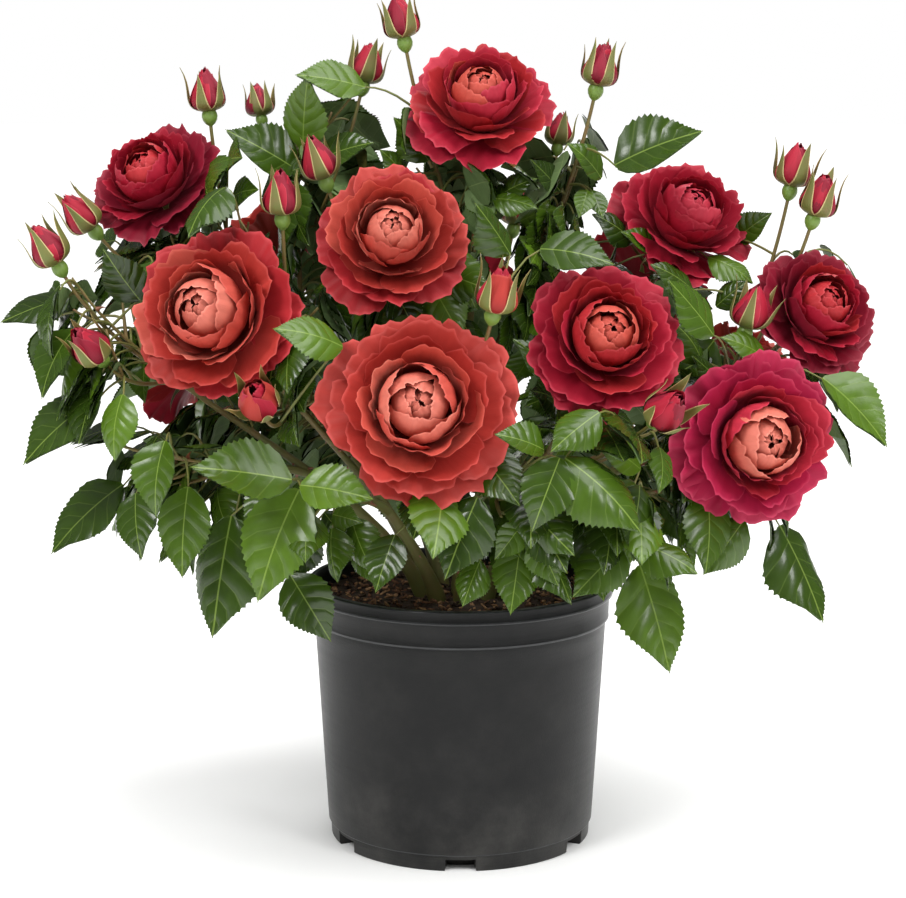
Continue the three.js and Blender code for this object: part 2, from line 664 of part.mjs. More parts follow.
// A full rose: two lobed tiers of petals round a ball, on the end of its stem.
function bloomSolid(shoot) {
  const { facing, end } = lines[shoot.name];
  const radius = shoot.bloom / 2;
  const side = levelSide(facing);
  const other = new THREE.Vector3().crossVectors(facing, side);
  const rings = bloomRows.map(([r, z, lobe], row) =>
    Array.from({ length: bloomSides }, (_, k) => {
      const a = (2 * Math.PI * (k + 0.5 * (row > 1))) / bloomSides;
      const wave = k % 2 ? lobe : -lobe;
      return end
        .clone()
        .addScaledVector(side, radius * (r + wave * 0.6) * Math.cos(a))
        .addScaledVector(other, radius * (r + wave * 0.6) * Math.sin(a))
        .addScaledVector(facing, radius * (z + wave * 0.4));
    }),
  );
  const foot = end.clone().addScaledVector(facing, -1);
  return solidFrom(skin(rings, foot, end.clone().addScaledVector(facing, radius)));
}

// Radius and height of each row of a bud above its stalk, as shares of its length.
const budRows = [
  [0.04, 0], [0.17, 0.08], [0.13, 0.24], [bud.width, 0.46], [0.19, 0.76],
];

// A bud and its stalk in one piece.
function budSolid(shoot, place) {
  const { points, lean } = budLine(shoot, place);
  const stalk = [points[0], points[2]];
  const body = budRows.map(([, z]) => points[3].clone().addScaledVector(lean, bud.length * z));
  const radii = [...stalk.map(() => stem.twigRadius), ...budRows.map(([r]) => bud.length * r)];
  const tip = points[3].clone().addScaledVector(lean, bud.length);
  return solidFrom(bar([...stalk, ...body], radii, bud.sides, tip));
}

function shootSolid(shoot, index) {
  const { curve, span, facing } = lines[shoot.name];
  const start = shoot.split + clearance / span;
  const shares = Array.from({ length: stem.steps + 1 }, (_, i) => start + ((1 - start) * i) / stem.steps);
  const points = shares.map((t) => curve.getPoint(t));
  if (shoot.bloom) points[stem.steps].addScaledVector(facing, 3);
  const { leaves, twigs } = growShoot(shoot, index);
  const solids = [taper(points, cane.tipRadius, stem.endRadius, stem.sides)];
  for (const twig of twigs) solids.push(taper(twig, 1.2 * stem.twigRadius, stem.twigRadius, stem.twigSides));
  solids.push(...leaves.map(leafSolid));
  if (shoot.bloom) solids.push(bloomSolid(shoot));
  for (const place of shoot.buds) solids.push(budSolid(shoot, place));
  return wasm.Manifold.union(solids).simplify(0.05);
}

// ---- The whole plant ----

const rose = new THREE.Group();
rose.name = "potted_rose_bush";
rose.add(meshFrom(potSolid(), "pot", materials.pot));
rose.add(meshFrom(soilSolid(), "soil", materials.soil));

for (const shoot of shoots) {
  const parent = shoots.find((s) => s.name === shoot.from);
  let limb = limbSolid(shoot);
  if (parent) limb = limb.subtract(limbSolid(parent, clearance));
  rose.add(meshFrom(limb, (parent ? "bough_" : "cane_") + shoot.name, materials.cane));
}

shoots.forEach((shoot, index) => {
  const material = shoot.bloom ? materials.flowering : materials.leafy;
  rose.add(meshFrom(shootSolid(shoot, index), "shoot_" + shoot.name, material));
});

export default rose;
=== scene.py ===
# A potted rose bush in full bloom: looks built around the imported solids.
# Lengths in the tables are millimetres; every mesh is made in metres.

import functools
import math

import bpy
import numpy as np
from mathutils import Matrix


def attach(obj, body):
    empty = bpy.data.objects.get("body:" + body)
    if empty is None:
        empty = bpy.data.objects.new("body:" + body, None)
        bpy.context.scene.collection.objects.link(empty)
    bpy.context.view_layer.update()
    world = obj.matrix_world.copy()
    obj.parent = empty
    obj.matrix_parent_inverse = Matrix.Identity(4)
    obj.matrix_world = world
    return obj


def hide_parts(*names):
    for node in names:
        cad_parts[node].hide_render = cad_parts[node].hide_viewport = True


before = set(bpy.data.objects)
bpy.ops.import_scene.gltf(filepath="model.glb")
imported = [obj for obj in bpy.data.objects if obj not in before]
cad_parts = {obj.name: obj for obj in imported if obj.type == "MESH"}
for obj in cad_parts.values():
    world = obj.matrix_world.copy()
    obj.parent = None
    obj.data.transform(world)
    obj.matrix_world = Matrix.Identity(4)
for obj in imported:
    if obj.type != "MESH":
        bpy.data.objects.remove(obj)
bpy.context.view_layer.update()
print("frame loaded")

mm = 0.001
up = np.array([0.0, 0.0, 1.0])


# small helpers
def norm(v):
    return v / np.linalg.norm(v, axis=-1, keepdims=True)


def randomFrom(seed):
    # the same stream of numbers from 0 to 1 as the solids grow by
    state = [seed & 0xFFFFFFFF]

    def draw():
        state[0] = (state[0] * 1664525 + 1013904223) & 0xFFFFFFFF
        return state[0] / 4294967296
    return draw


def levelSide(d):
    # the level direction square to d
    side = np.cross(d, up)
    size = np.linalg.norm(side)
    return np.array([1.0, 0.0, 0.0]) if size < 0.05 else side / size


def linear(hexColour):
    # sRGB hex to the linear values that shaders work in
    values = [int(hexColour[i:i + 2], 16) / 255 for i in (1, 3, 5)]
    return [v / 12.92 if v <= 0.04045 else ((v + 0.055) / 1.055) ** 2.4 for v in values] + [1.0]


def tinted(colour, factor):
    return [min(1, c * factor) for c in colour[:3]] + [1]


def scaleOf(size):
    # texture scale for a pattern whose cells are this many millimetres
    return 1 / (size * mm)


def plug(tree, socket, value):
    # a number or colour is set on the socket; a node or an output is linked to it
    if isinstance(value, bpy.types.Node):
        value = next(out for out in value.outputs if out.enabled)
    if isinstance(value, bpy.types.NodeSocket):
        tree.links.new(value, socket)
    else:
        socket.default_value = value


def plugNamed(tree, node, **named):
    for key, value in named.items():
        plug(tree, node.inputs[key.replace("_", " ")], value)


def addNode(tree, kind, *values, **named):
    # one node: values fill its sockets in order, capital names are sockets and small names are settings;
    # a second word in kind is the node's main setting
    kind, _, mode = kind.partition(" ")
    node = tree.nodes.new("ShaderNode" + kind)
    if mode:
        setattr(node, {"Math": "operation", "Mix": "data_type", "MapRange": "interpolation_type"}[kind], mode)
    for key in [key for key in named if key[0].islower()]:
        setattr(node, key, named.pop(key))
    for socket, value in zip([socket for socket in node.inputs if socket.enabled], values):
        plug(tree, socket, value)
    plugNamed(tree, node, **named)
    return node


def newMaterial(name):
    # a material, the way to add nodes to it and the way to fill its shader's sockets
    material = bpy.data.materials.new(name)
    material.use_nodes = True
    tree = material.node_tree
    tree.nodes.clear()
    shader = addNode(tree, "BsdfPrincipled")
    addNode(tree, "OutputMaterial", shader)
    return material, functools.partial(addNode, tree), functools.partial(plugNamed, tree, shader)


def between(pair, share):
    return pair[0] + (pair[1] - pair[0]) * share


def gridUvs(rows, columns):
    return np.stack(np.meshgrid(np.linspace(0, 1, columns), np.linspace(0, 1, rows)), -1)


def sheetGrid(rows, columns):
    # across from -1 to 1 and up from 0 to 1, for sheets held as (sheets, rows, columns)
    return np.linspace(-1, 1, columns)[None, None, :], np.linspace(0, 1, rows)[None, :, None]


def roundAbout(n, jitter, dice):
    # n places round an axis, each a little off, from a start of any angle
    return (2 * math.pi * np.arange(n) / n + dice.uniform(-jitter, jitter, n) + dice.uniform(0, 6))[:, None, None]


def addObject(name, data):
    one = bpy.data.objects.new(name, data)
    bpy.context.scene.collection.objects.link(one)
    return one


def newBag():
    return {"points": [], "faces": [], "uvs": [], "shades": [], "count": 0}


def addGrids(bag, points, uvs, shades, closed=False):
    # many grids of one size at once: points (n, rows, columns, 3), uvs (rows, columns, 2), shades (n, rows - 1)
    n, rows, columns = points.shape[:3]
    index = np.arange(rows * columns).reshape(rows, columns)
    ahead = np.roll(index, -1, axis=1) if closed else index[:, 1:]
    here = index if closed else index[:, :-1]
    quads = np.stack([here[:-1], ahead[:-1], ahead[1:], here[1:]], -1).reshape(-1, 4)
    perRow = quads.shape[0] // (rows - 1)
    every = quads[None] + (np.arange(n) * rows * columns)[:, None, None] + bag["count"]
    bag["points"].append(points.reshape(-1, 3))
    bag["faces"].append(every.reshape(-1, 4))
    bag["uvs"].append(np.broadcast_to(uvs.reshape(-1, 2), (n, rows * columns, 2)).reshape(-1, 2))
    shades = np.broadcast_to(np.asarray(shades).reshape(n, -1), (n, rows - 1))
    bag["shades"].append(np.repeat(shades.reshape(-1), perRow))
    bag["count"] += n * rows * columns


def makePiece(name, bag, materials, replaced=()):
    # one mesh object from a bag, riding on the plant's body
    points = np.concatenate(bag["points"]) * mm
    faces = np.concatenate(bag["faces"])
    uvs = np.concatenate(bag["uvs"])
    mesh = bpy.data.meshes.new(name)
    mesh.vertices.add(len(points))
    mesh.vertices.foreach_set("co", points.astype(np.float32).ravel())
    mesh.loops.add(faces.size)
    mesh.loops.foreach_set("vertex_index", faces.astype(np.int32).ravel())
    mesh.polygons.add(len(faces))
    mesh.polygons.foreach_set("loop_start", np.arange(0, faces.size, 4, dtype=np.int32))
    mesh.polygons.foreach_set("material_index", np.concatenate(bag["shades"]).astype(np.int32))
    mesh.polygons.foreach_set("use_smooth", np.ones(len(faces), bool))
    layer = mesh.uv_layers.new(name="UVMap")
    layer.data.foreach_set("uv", uvs[faces.ravel()].astype(np.float32).ravel())
    mesh.update(calc_edges=True)
    mesh.validate()
    for material in materials:
        mesh.materials.append(material)
    piece = addObject(name, mesh)
    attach(piece, "root")
    if replaced:
        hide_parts(*replaced)
    print(name, len(faces) * 2, "triangles")


def tube(bag, points, radii, sides, shade, tip=True):
    # a round bar through points, closed to a small tip at its far end
    points = np.asarray(points, float)
    radii = np.asarray(radii, float)
    along = norm(np.gradient(points, axis=0))
    side = levelSide(along[0])
    if tip:
        points = np.vstack([points, points[-1] + along[-1] * radii[-1] * 0.5])
        along = np.vstack([along, along[-1]])
        radii = np.append(radii, radii[-1] * 0.15)
    rings = []
    turn = 2 * math.pi * np.arange(sides) / sides
    for p, a, r in zip(points, along, radii):
        side = norm(side - a * side.dot(a))
        other = np.cross(a, side)
        rings.append(p + r * (np.cos(turn)[:, None] * side + np.sin(turn)[:, None] * other))
    rows = len(rings)
    uvs = np.stack(np.meshgrid(np.arange(sides) / sides, np.linspace(0, 1, rows)), -1)
    addGrids(bag, np.array(rings)[None], uvs, [[shade]], closed=True)


# camera, floor and light
camera = {"place": (-0.005, -1.5, 0.514), "pitchDown": 9.25, "lens": 88.25, "sensor": 36}

eye = addObject("camera", bpy.data.cameras.new("camera"))
eye.location = camera["place"]
eye.rotation_euler = (math.radians(90 - camera["pitchDown"]), 0, 0)
eye.data.lens, eye.data.sensor_width = camera["lens"], camera["sensor"]
bpy.context.scene.camera = eye

studio = {
    "floorSize": 60.0, "floorHex": "#F8F8F7",
    "skyTop": 0.9, "skySide": 0.22, "skyGlint": 0.3,  # light from above, from the sides, and what gloss sees
    "sunStrength": 2.3, "sunSpread": 50, "sunLean": (18, -16),  # a wide lamp, so shadows stay soft
    "lamps": [  # place, size, power
        ((-1.0, -1.2, 1.5), 0.6, 17), ((1.2, -1.3, 1.2), 0.5, 9), ((0.3, 1.2, 1.5), 1.0, 9),
    ],
    "aim": (0, 0, 0.32),  # middle of the plant
}

world = bpy.data.worlds.new("studio")
bpy.context.scene.world = world
world.use_nodes = True
world.node_tree.nodes.clear()
node = functools.partial(addNode, world.node_tree)
skyHeight = node("SeparateXYZ", node("TexCoord").outputs["Generated"]).outputs["Z"]
skyLevel = node("MapRange", skyHeight, 0.0, 1.0, studio["skySide"], studio["skyTop"])
rays = node("LightPath").outputs
dimmed = node("Math SUBTRACT", 1.0, node("Math MULTIPLY", rays["Is Glossy Ray"], 1 - studio["skyGlint"]))
level = node("Math MAXIMUM", node("Math MULTIPLY", skyLevel, dimmed), rays["Is Camera Ray"])  # backdrop shows white
node("OutputWorld", node("Background", (1, 1, 1, 1), level))
bpy.context.scene.view_settings.view_transform = "Standard"


def addLamp(kind, place, aimAt, settings):
    lamp = bpy.data.lights.new(f"lamp{len(bpy.data.lights)}", kind)
    for key, value in settings.items():
        setattr(lamp, key, value)
    holder = addObject(lamp.name, lamp)
    holder.location = place
    x, y, z = np.array(aimAt) - np.array(place)
    holder.rotation_euler = (math.atan2(math.hypot(x, y), -z), 0, math.atan2(-x, y))


leanSide, leanFront = (math.tan(math.radians(a)) for a in studio["sunLean"])
addLamp("SUN", (leanSide, leanFront, 1.0), (0, 0, 0),
        {"energy": studio["sunStrength"], "angle": math.radians(studio["sunSpread"])})
for place, size, power in studio["lamps"]:
    addLamp("AREA", place, studio["aim"], {"size": size, "energy": power})

half = studio["floorSize"] / 2
floorMesh = bpy.data.meshes.new("floor")
floorMesh.from_pydata([(-half, -half, 0), (half, -half, 0), (half, half, 0), (-half, half, 0)], [], [(0, 1, 2, 3)])
floor = addObject("floor", floorMesh)
paper, node, shade = newMaterial("matt white studio paper")  # a floor with no gloss, so only the soft shadow shows
shade(Base_Color=linear(studio["floorHex"]), Roughness=0.9, Specular_IOR_Level=0.1)
floorMesh.materials.append(paper)
print("studio ready")


# the limbs and what they carry, as the solids have them
clearance = 0.3  # between the canes and the compost
bloomFoot = 0.27  # from a bloom's middle back to its foot, as a share of its width
pot = {
    "rimRadius": 105, "bandRadius": 102.4, "bodyRadius": 100.6, "footRadius": 90, "height": 180, "lipHeight": 9,
    "bandHeight": 26, "footHeight": 11, "wall": 2.4, "notches": 6, "notchWidth": 21, "notchHeight": 8,
    "notchDepth": 13, "segments": 192,
}
soil = {"top": 170, "chips": 900, "seed": 5}
cane = {
    "footRing": 27, "footRadius": 4.6, "forkRadius": 3.3, "tipRadius": 2.3, "flare": 1.5, "rise": 0.3, "steps": 4,
    "sides": 12, "thorns": 9, "thornLength": 5.5,
}
stem = {
    "endRadius": 1.7, "twigRadius": 1.3, "nodeSpacing": 19, "turn": 137.5, "bareNeck": 0.8, "tries": 14,
    "nextTry": 79, "shrink": 0.035, "steepen": 0.12, "twigLength": (35, 75), "twigFrom": 1.5, "twigTo": 0.8,
}
leaf = {
    "bladeLength": 65, "bladeWidth": 0.68, "stalkLength": 44, "droop": 0.5, "lift": 0.4,
    "stations": [0.66, 0.34], "fiveFold": 0.5, "apart": 5.5, "siblingGap": 1.5, "smallest": 24, "woodGap": 3.5,
}
bud = {"length": 36}
space = {
    "margin": 1.2, "limbGap": 5.5, "stemReach": 14, "bloomReach": 1.02, "bloomKeepOut": 0.84, "budReach": 16,
    "potGap": 4,
}
crown = {"middle": 320, "halfWidth": 302, "halfDepth": 228, "rise": 206, "drop": 178}


def shootOf(name, at, facing, split, foot=None, source=None, bloom=0, buds=(), tips=(), palette=""):
    return {
        "name": name, "at": np.array(at, float), "facing": norm(np.array(facing, float)), "split": split,
        "foot": foot, "source": source, "bloom": bloom, "buds": buds, "tips": tips, "palette": palette,
    }


# name, middle of the bloom or last leaf, the way it faces, share of its line that is bare limb, foot in degrees round
# the pot or else the limb it forks from and how far along, width of the bloom, buds, tips of leaves, petal shades
shootRows = [
    ("front", (-26, -164, 323), (0.02, -0.95, 0.3), 0.5, 272, None, 127, [(22, -150, 388)], (), "brick"),
    ("left_front", (-158, -106, 374), (-0.34, -0.88, 0.32), 0.5, 234, None, 114, [(-114, -80, 443), (-123, -170, 327)],
     [(-178, -130, 210)], "coral"),
    ("middle", (-44, -75, 421), (0.06, -0.88, 0.46), 0.3, None, ("top", 0.24), 100, [(-92, -40, 464)], (), "coral"),
    ("top", (14, 10, 507), (0.04, -0.7, 0.71), 0.46, None, None, 101, [(-40, 30, 556)], (), "pinkRed"),
    ("right_front", (91, -116, 360), (0.14, -0.88, 0.44), 0.5, 312, None, 101, [(124, -160, 319)], (), "crimson"),
    ("upper_left", (-209, 10, 454), (-0.36, -0.66, 0.66), 0.5, 162, None, 94, [(-252, -10, 428), (-172, 30, 507)], (),
     "dark"),
    ("upper_right", (156, 30, 427), (0.3, -0.66, 0.68), 0.3, None, ("back_right", 0.36), 100, (), (), "cherry"),
    ("right", (240, -20, 369), (0.42, -0.76, 0.5), 0.56, 350, None, 93, [(225, 10, 457), (239, -10, 438)],
     [(293, -40, 278)], "dark"),
    ("low_right", (191, -96, 291), (0.26, -0.95, 0.1), 0.3, None, ("right", 0.4), 113, [(191, -40, 366)],
     [(243, -60, 166)], "magenta"),
    ("far_left", (-252, -60, 392), (-0.5, -0.1, 0.86), 0.5, 198, None, 0, [(-266, -60, 409), (-233, -110, 352)],
     [(-296, -60, 367)]),
    ("left_crown", (-112, 36, 478), (-0.1, 0, 1), 0.3, None, ("upper_left", 0.44), 0,
     [(-140, 60, 505), (-65, 60, 526)], [(-106, 40, 520)]),
    ("right_crown", (84, 28, 474), (0.2, 0, 1), 0.3, None, ("top", 0.34), 0, [(94, 20, 524), (69, 60, 485)],
     [(162, 40, 486)]),
    ("skirt_front_left", (-100, -122, 262), (-0.5, -0.8, 0.3), 0.36, None, ("left_front", 0.3), 0, (),
     [(-128, -170, 205), (-83, -130, 168)]),
    ("skirt_front", (24, -134, 262), (0.1, -0.95, 0.3), 0.36, None, ("front", 0.3), 0, (), [(31, -150, 191)]),
    ("skirt_front_right", (116, -120, 262), (0.6, -0.75, 0.3), 0.36, None, ("right_front", 0.3), 0, (),
     [(135, -120, 147)]),
    ("skirt_right", (186, -34, 262), (0.9, -0.25, 0.3), 0.36, None, ("right", 0.24)),
    ("skirt_left", (-190, -78, 280), (-0.9, -0.3, 0.3), 0.36, None, ("far_left", 0.36), 0, (),
     [(-288, -60, 277), (-266, -90, 221), (-160, -120, 171)]),
    ("back", (0, 176, 352), (0, 0.9, 0.44), 0.5, 78, None, 104, [(42, 150, 422)], (), "crimson"),
    ("back_left", (-138, 134, 396), (-0.5, 0.7, 0.5), 0.5, 120, None, 98, (), (), "coral"),
    ("back_right", (140, 140, 376), (0.5, 0.7, 0.5), 0.5, 34, None, 98, (), (), "cherry"),
    ("side_left", (-204, 84, 322), (-0.8, 0.5, 0.32), 0.32, None, ("back_left", 0.4), 94, (), (), "pinkRed"),
    ("side_right", (212, 84, 306), (0.8, 0.5, 0.32), 0.32, None, ("back_right", 0.26), 94, (), (), "brick"),
    ("skirt_back_left", (-92, 136, 262), (-0.5, 0.8, 0.3), 0.36, None, ("back_left", 0.24)),
    ("skirt_back_right", (86, 140, 262), (0.5, 0.8, 0.3), 0.36, None, ("back", 0.24)),
]
shoots = [shootOf(*row) for row in shootRows]
byName = {shoot["name"]: shoot for shoot in shoots}


def cubic(a, b, c, d):
    # a cubic curve and its unit tangent
    def at(t):
        t = np.asarray(t, float)[..., None]
        return a * (1 - t) ** 3 + 3 * b * t * (1 - t) ** 2 + 3 * c * t * t * (1 - t) + d * t ** 3

    def tangent(t):
        t = np.asarray(t, float)[..., None]
        return norm(3 * (b - a) * (1 - t) ** 2 + 6 * (c - b) * t * (1 - t) + 3 * (d - c) * t * t)
    return at, tangent


def quadratic(a, b, c):
    def at(t):
        t = np.asarray(t, float)[..., None]
        return a * (1 - t) ** 2 + 2 * b * t * (1 - t) + c * t * t
    return at


def lineOf(shoot):
    facing = shoot["facing"]
    end = shoot["at"] - facing * bloomFoot * shoot["bloom"]
    parent = byName[shoot["source"][0]]["line"] if shoot["source"] else None
    ring = cane["footRing"] if shoot["foot"] is not None else 0
    foot = math.radians(shoot["foot"] or 0)
    if parent:
        start = parent["at"](shoot["source"][1])
    else:
        start = np.array([ring * math.cos(foot), ring * math.sin(foot), soil["top"] + clearance])
    span = np.linalg.norm(end - start)
    direct = norm(end - start)
    leave = parent["tangent"](shoot["source"][1]) + 0.8 * direct if parent else direct + up
    arrive = norm(0.6 * direct + 0.5 * facing + 0.3 * up)
    at, tangent = cubic(start, start + norm(leave) * cane["rise"] * span, end - arrive * 0.3 * span, end)
    return {
        "at": at, "tangent": tangent, "end": end, "span": span,
        "footRadius": cane["forkRadius"] if parent else cane["footRadius"],
    }


waiting = list(shoots)
while waiting:
    shoot = waiting.pop(0)
    if shoot["source"] and "line" not in byName[shoot["source"][0]]:
        waiting.append(shoot)
    else:
        shoot["line"] = lineOf(shoot)


def limbRadius(shoot, share):
    foot = shoot["line"]["footRadius"]
    flare = 0 if shoot["source"] else cane["flare"] * np.maximum(0, 1 - share * cane["steps"])
    return foot + (cane["tipRadius"] - foot) * share + flare


def limbPoints(shoot):
    return shoot["line"]["at"](shoot["split"] * np.arange(cane["steps"] + 1) / cane["steps"])


# the rule that shoots grow by
def budLine(shoot, place):
    base = np.array(place, float)
    start = shoot["line"]["at"](shoot["split"] + (1 - shoot["split"]) * 0.4)
    span = np.linalg.norm(base - start)
    lean = norm(norm(base - start) + np.array([0, 0, 0.5]))
    foot = base - lean * bud["length"] / 2
    return quadratic(start, foot - lean * 0.4 * span, foot), lean, foot


def claimOf(shoot):
    # round-ended bars and balls: one row each of both ends and a radius
    line = shoot["line"]
    split = shoot["split"]
    along = line["at"](split + (1 - split) * np.arange(5) / 4)
    rows = [(along[i], along[i + 1], space["stemReach"]) for i in range(4)]
    if shoot["bloom"]:
        centre = line["end"] + shoot["facing"] * bloomFoot * shoot["bloom"]
        rows.append((centre, centre, space["bloomReach"] * shoot["bloom"] / 2))
    for place in shoot["buds"]:
        points = budLine(shoot, place)[0](np.arange(4) / 3)
        rows += [(points[i], points[i + 1], 4) for i in range(3)]
        rows.append((np.array(place, float), np.array(place, float), space["budReach"]))
    for tip in shoot["tips"]:
        rows.append((line["at"](0.5 + 0.5 * split), np.array(tip, float), space["stemReach"] / 2))
    return rows


def barTable(rows):
    a, b, r = (np.array([row[k] for row in rows], float) for k in range(3))
    return a, b - a, np.maximum(((b - a) ** 2).sum(1), 1e-9), r


def distanceTo(table, points):
    # from each point to each bar, negative inside: (points, bars)
    a, d, square, r = table
    p = points[:, None, :] - a[None]
    t = np.clip((p * d).sum(-1) / square, 0, 1)
    return np.linalg.norm(p - t[..., None] * d, axis=-1) - r


claimRows = [claimOf(shoot) for shoot in shoots]
claimStarts = np.cumsum([0] + [len(rows) for rows in claimRows])[:-1]
claimTable = barTable([row for rows in claimRows for row in rows])
limbRows = []
for shoot in shoots:
    points = limbPoints(shoot)
    limbRows += [(points[i], points[i + 1], limbRadius(shoot, (i + 1) / cane["steps"])) for i in range(cane["steps"])]
limbTable = barTable(limbRows)
bloomCentres = np.array([s["line"]["end"] + s["facing"] * bloomFoot * s["bloom"] for s in shoots if s["bloom"]])
bloomSizes = np.array([space["bloomReach"] * s["bloom"] / 2 for s in shoots if s["bloom"]])


# blooms, buds and two bare canes at the front, which no finer leaf hangs before
front = {
    "way": (0.0, -1.0, 0.16),  # towards the viewer
    "bloomShare": 0.85, "budRadius": 15, "caneRadius": 6,  # how much of each is kept free
    "budsTo": 100,  # buds farther back may be hidden
    "behind": 12,  # a leaf this little behind the middle still counts as before it
    "bareCanes": {"far_left": (0.3, 0.95, 16), "left_front": (0.1, 0.6, 12)},  # from, to and number of places
}
frontWay = norm(np.array(front["way"]))
faces = [(s["at"], front["bloomShare"] * s["bloom"] / 2) for s in shoots if s["bloom"] and s["facing"][1] < 0]
faces += [(np.array(place, float), front["budRadius"]) for s in shoots for place in s["buds"]
          if place[1] < front["budsTo"]]
for name, (begin, end, count) in front["bareCanes"].items():
    faces += [(point, front["caneRadius"]) for point in byName[name]["line"]["at"](np.linspace(begin, end, count))]
faceCentres, faceSizes = np.array([f[0] for f in faces]), np.array([f[1] for f in faces])


def hidesFace(points):
    apart = points[:, None] - faceCentres
    ahead = apart @ frontWay
    aside = np.linalg.norm(apart - ahead[..., None] * frontWay, axis=-1)
    return ((ahead > -front["behind"]) & (aside < faceSizes)).any()


def isFree(index, points):
    # a shoot may use a point if no other shoot is nearer, and it is clear of limbs, blooms and pot
    height = (points[:, 2] - crown["middle"]) / np.where(points[:, 2] > crown["middle"], crown["rise"], crown["drop"])
    inside = (points[:, 0] / crown["halfWidth"]) ** 2 + (points[:, 1] / crown["halfDepth"]) ** 2 + height ** 2 <= 1
    if not inside.all():
        return False
    low = points[:, 2] < pot["height"] + space["potGap"]
    if (low & (np.hypot(points[:, 0], points[:, 1]) < pot["rimRadius"] + space["potGap"])).any():
        return False
    near = np.minimum.reduceat(distanceTo(claimTable, points), claimStarts, axis=1)
    own = near[:, index].copy()
    near[:, index] = 1e9
    if (near.min(1) < own + 2 * space["margin"]).any():
        return False
    if (distanceTo(limbTable, points) < space["limbGap"]).any():
        return False
    away = np.linalg.norm(points[:, None] - bloomCentres[None], axis=-1)
    return not (away < bloomSizes * space["bloomKeepOut"]).any()


def leafOn(stalkAt, along, length, pairs, droop, light):
    # one blade at the stalk's end and pairs of them along it, in about one plane that faces out and to the light
    end = stalkAt(1)
    side = norm(np.cross(along, norm(np.array([end[0], end[1], 0])) + light))
    face = np.cross(side, along)
    blades = [{"hand": 0, "root": end, "along": along, "side": side, "length": length}]
    for i in range(pairs):
        for hand in (1, -1):
            way = norm(side * hand + along * (0.35 - 0.3 * i) - up * 0.4 * droop)
            root = stalkAt(leaf["stations"][i])
            blades.append({"hand": hand, "root": root, "along": way, "side": norm(np.cross(way, face)),
                           "length": length * (0.82 - 0.12 * i)})
    return {"stalkAt": stalkAt, "side": side, "along": along, "blades": blades}


def planLeaf(root, away, size, random):
    droop = leaf["droop"] * (0.5 + random())
    length = leaf["bladeLength"] * size * (0.85 + 0.3 * random())
    light = np.array([random() - 0.5, random() - 0.5, 0.25 + 0.4 * random()])
    pairs = 2 if random() < leaf["fiveFold"] else 1
    reach = leaf["stalkLength"] * size * (0.5 + 0.35 * pairs + 0.3 * random())

    def stalkAt(s):
        return root + away * reach * s - up * droop * reach * s * s
    along = norm(norm(stalkAt(1) - stalkAt(0.8)) - up * droop)
    return leafOn(stalkAt, along, length, pairs, droop, light)


def planTip(shoot, tip):
    # a leaf that must reach a given tip, with its face turned to the front
    target = np.array(tip, float)
    places = shoot["line"]["at"](shoot["split"] + (1 - shoot["split"]) * (0.05 + 0.04 * np.arange(21)))
    root = places[np.argmin(np.linalg.norm(places - target, axis=1))]
    along = norm(norm(target - root) - up * leaf["droop"])
    foot = target - along * leaf["bladeLength"]
    bend = root + 0.6 * (foot - root) + up * 0.18 * np.linalg.norm(foot - root)
    line = quadratic(root, bend, foot)
    return leafOn(lambda s: line(s), along, leaf["bladeLength"], 1, leaf["droop"], np.array([0, -1.4, 0.9]))


bladeGrid = [(1, 0), (0.8, 0), (0.6, 0), (0.4, 0), (0.22, 0)]
for s, w in ((0.74, 0.5), (0.45, 1.05), (0.24, 0.6), (0.45, 0.5)):
    bladeGrid += [(s, w), (s, -w)]
bladeGrid = np.array(bladeGrid)


def bladePoints(blade):
    half = leaf["bladeWidth"] * blade["length"] / 2
    return (blade["root"] + blade["along"] * bladeGrid[:, :1] * blade["length"]
            + blade["side"] * bladeGrid[:, 1:] * half)


def cornersOf(blade, plan):
    half = 0.6 * leaf["bladeWidth"]
    corners = []
    for s, w in ((0.1, 0), (0.44, half), (1, 0), (0.44, -half)):
        p = blade["root"] + blade["along"] * s * blade["length"] + blade["side"] * w * blade["length"]
        corners.append((p.dot(plan["side"]), p.dot(plan["along"])))
    return np.array(corners)


def areApart(one, other):
    # two flat shapes with straight edges: some edge of one has all of the other beyond it
    for shape in (one, other):
        edges = np.roll(shape, -1, axis=0) - shape
        normals = np.stack([edges[:, 1], -edges[:, 0]], 1) / np.linalg.norm(edges, axis=1, keepdims=True)
        a, b = one @ normals.T, other @ normals.T
        gap = np.maximum(b.min(0) - a.max(0), a.min(0) - b.max(0))
        if (gap > leaf["siblingGap"]).any():
            return True
    return False


def fitBlades(plan):
    kept, blades = [], []
    for blade in plan["blades"]:
        while any(not areApart(o, cornersOf(blade, plan)) for o in kept) and blade["length"] > leaf["smallest"]:
            blade["length"] *= 0.92
        if all(areApart(o, cornersOf(blade, plan)) for o in kept):
            kept.append(cornersOf(blade, plan))
            blades.append(blade)
    plan["blades"] = blades


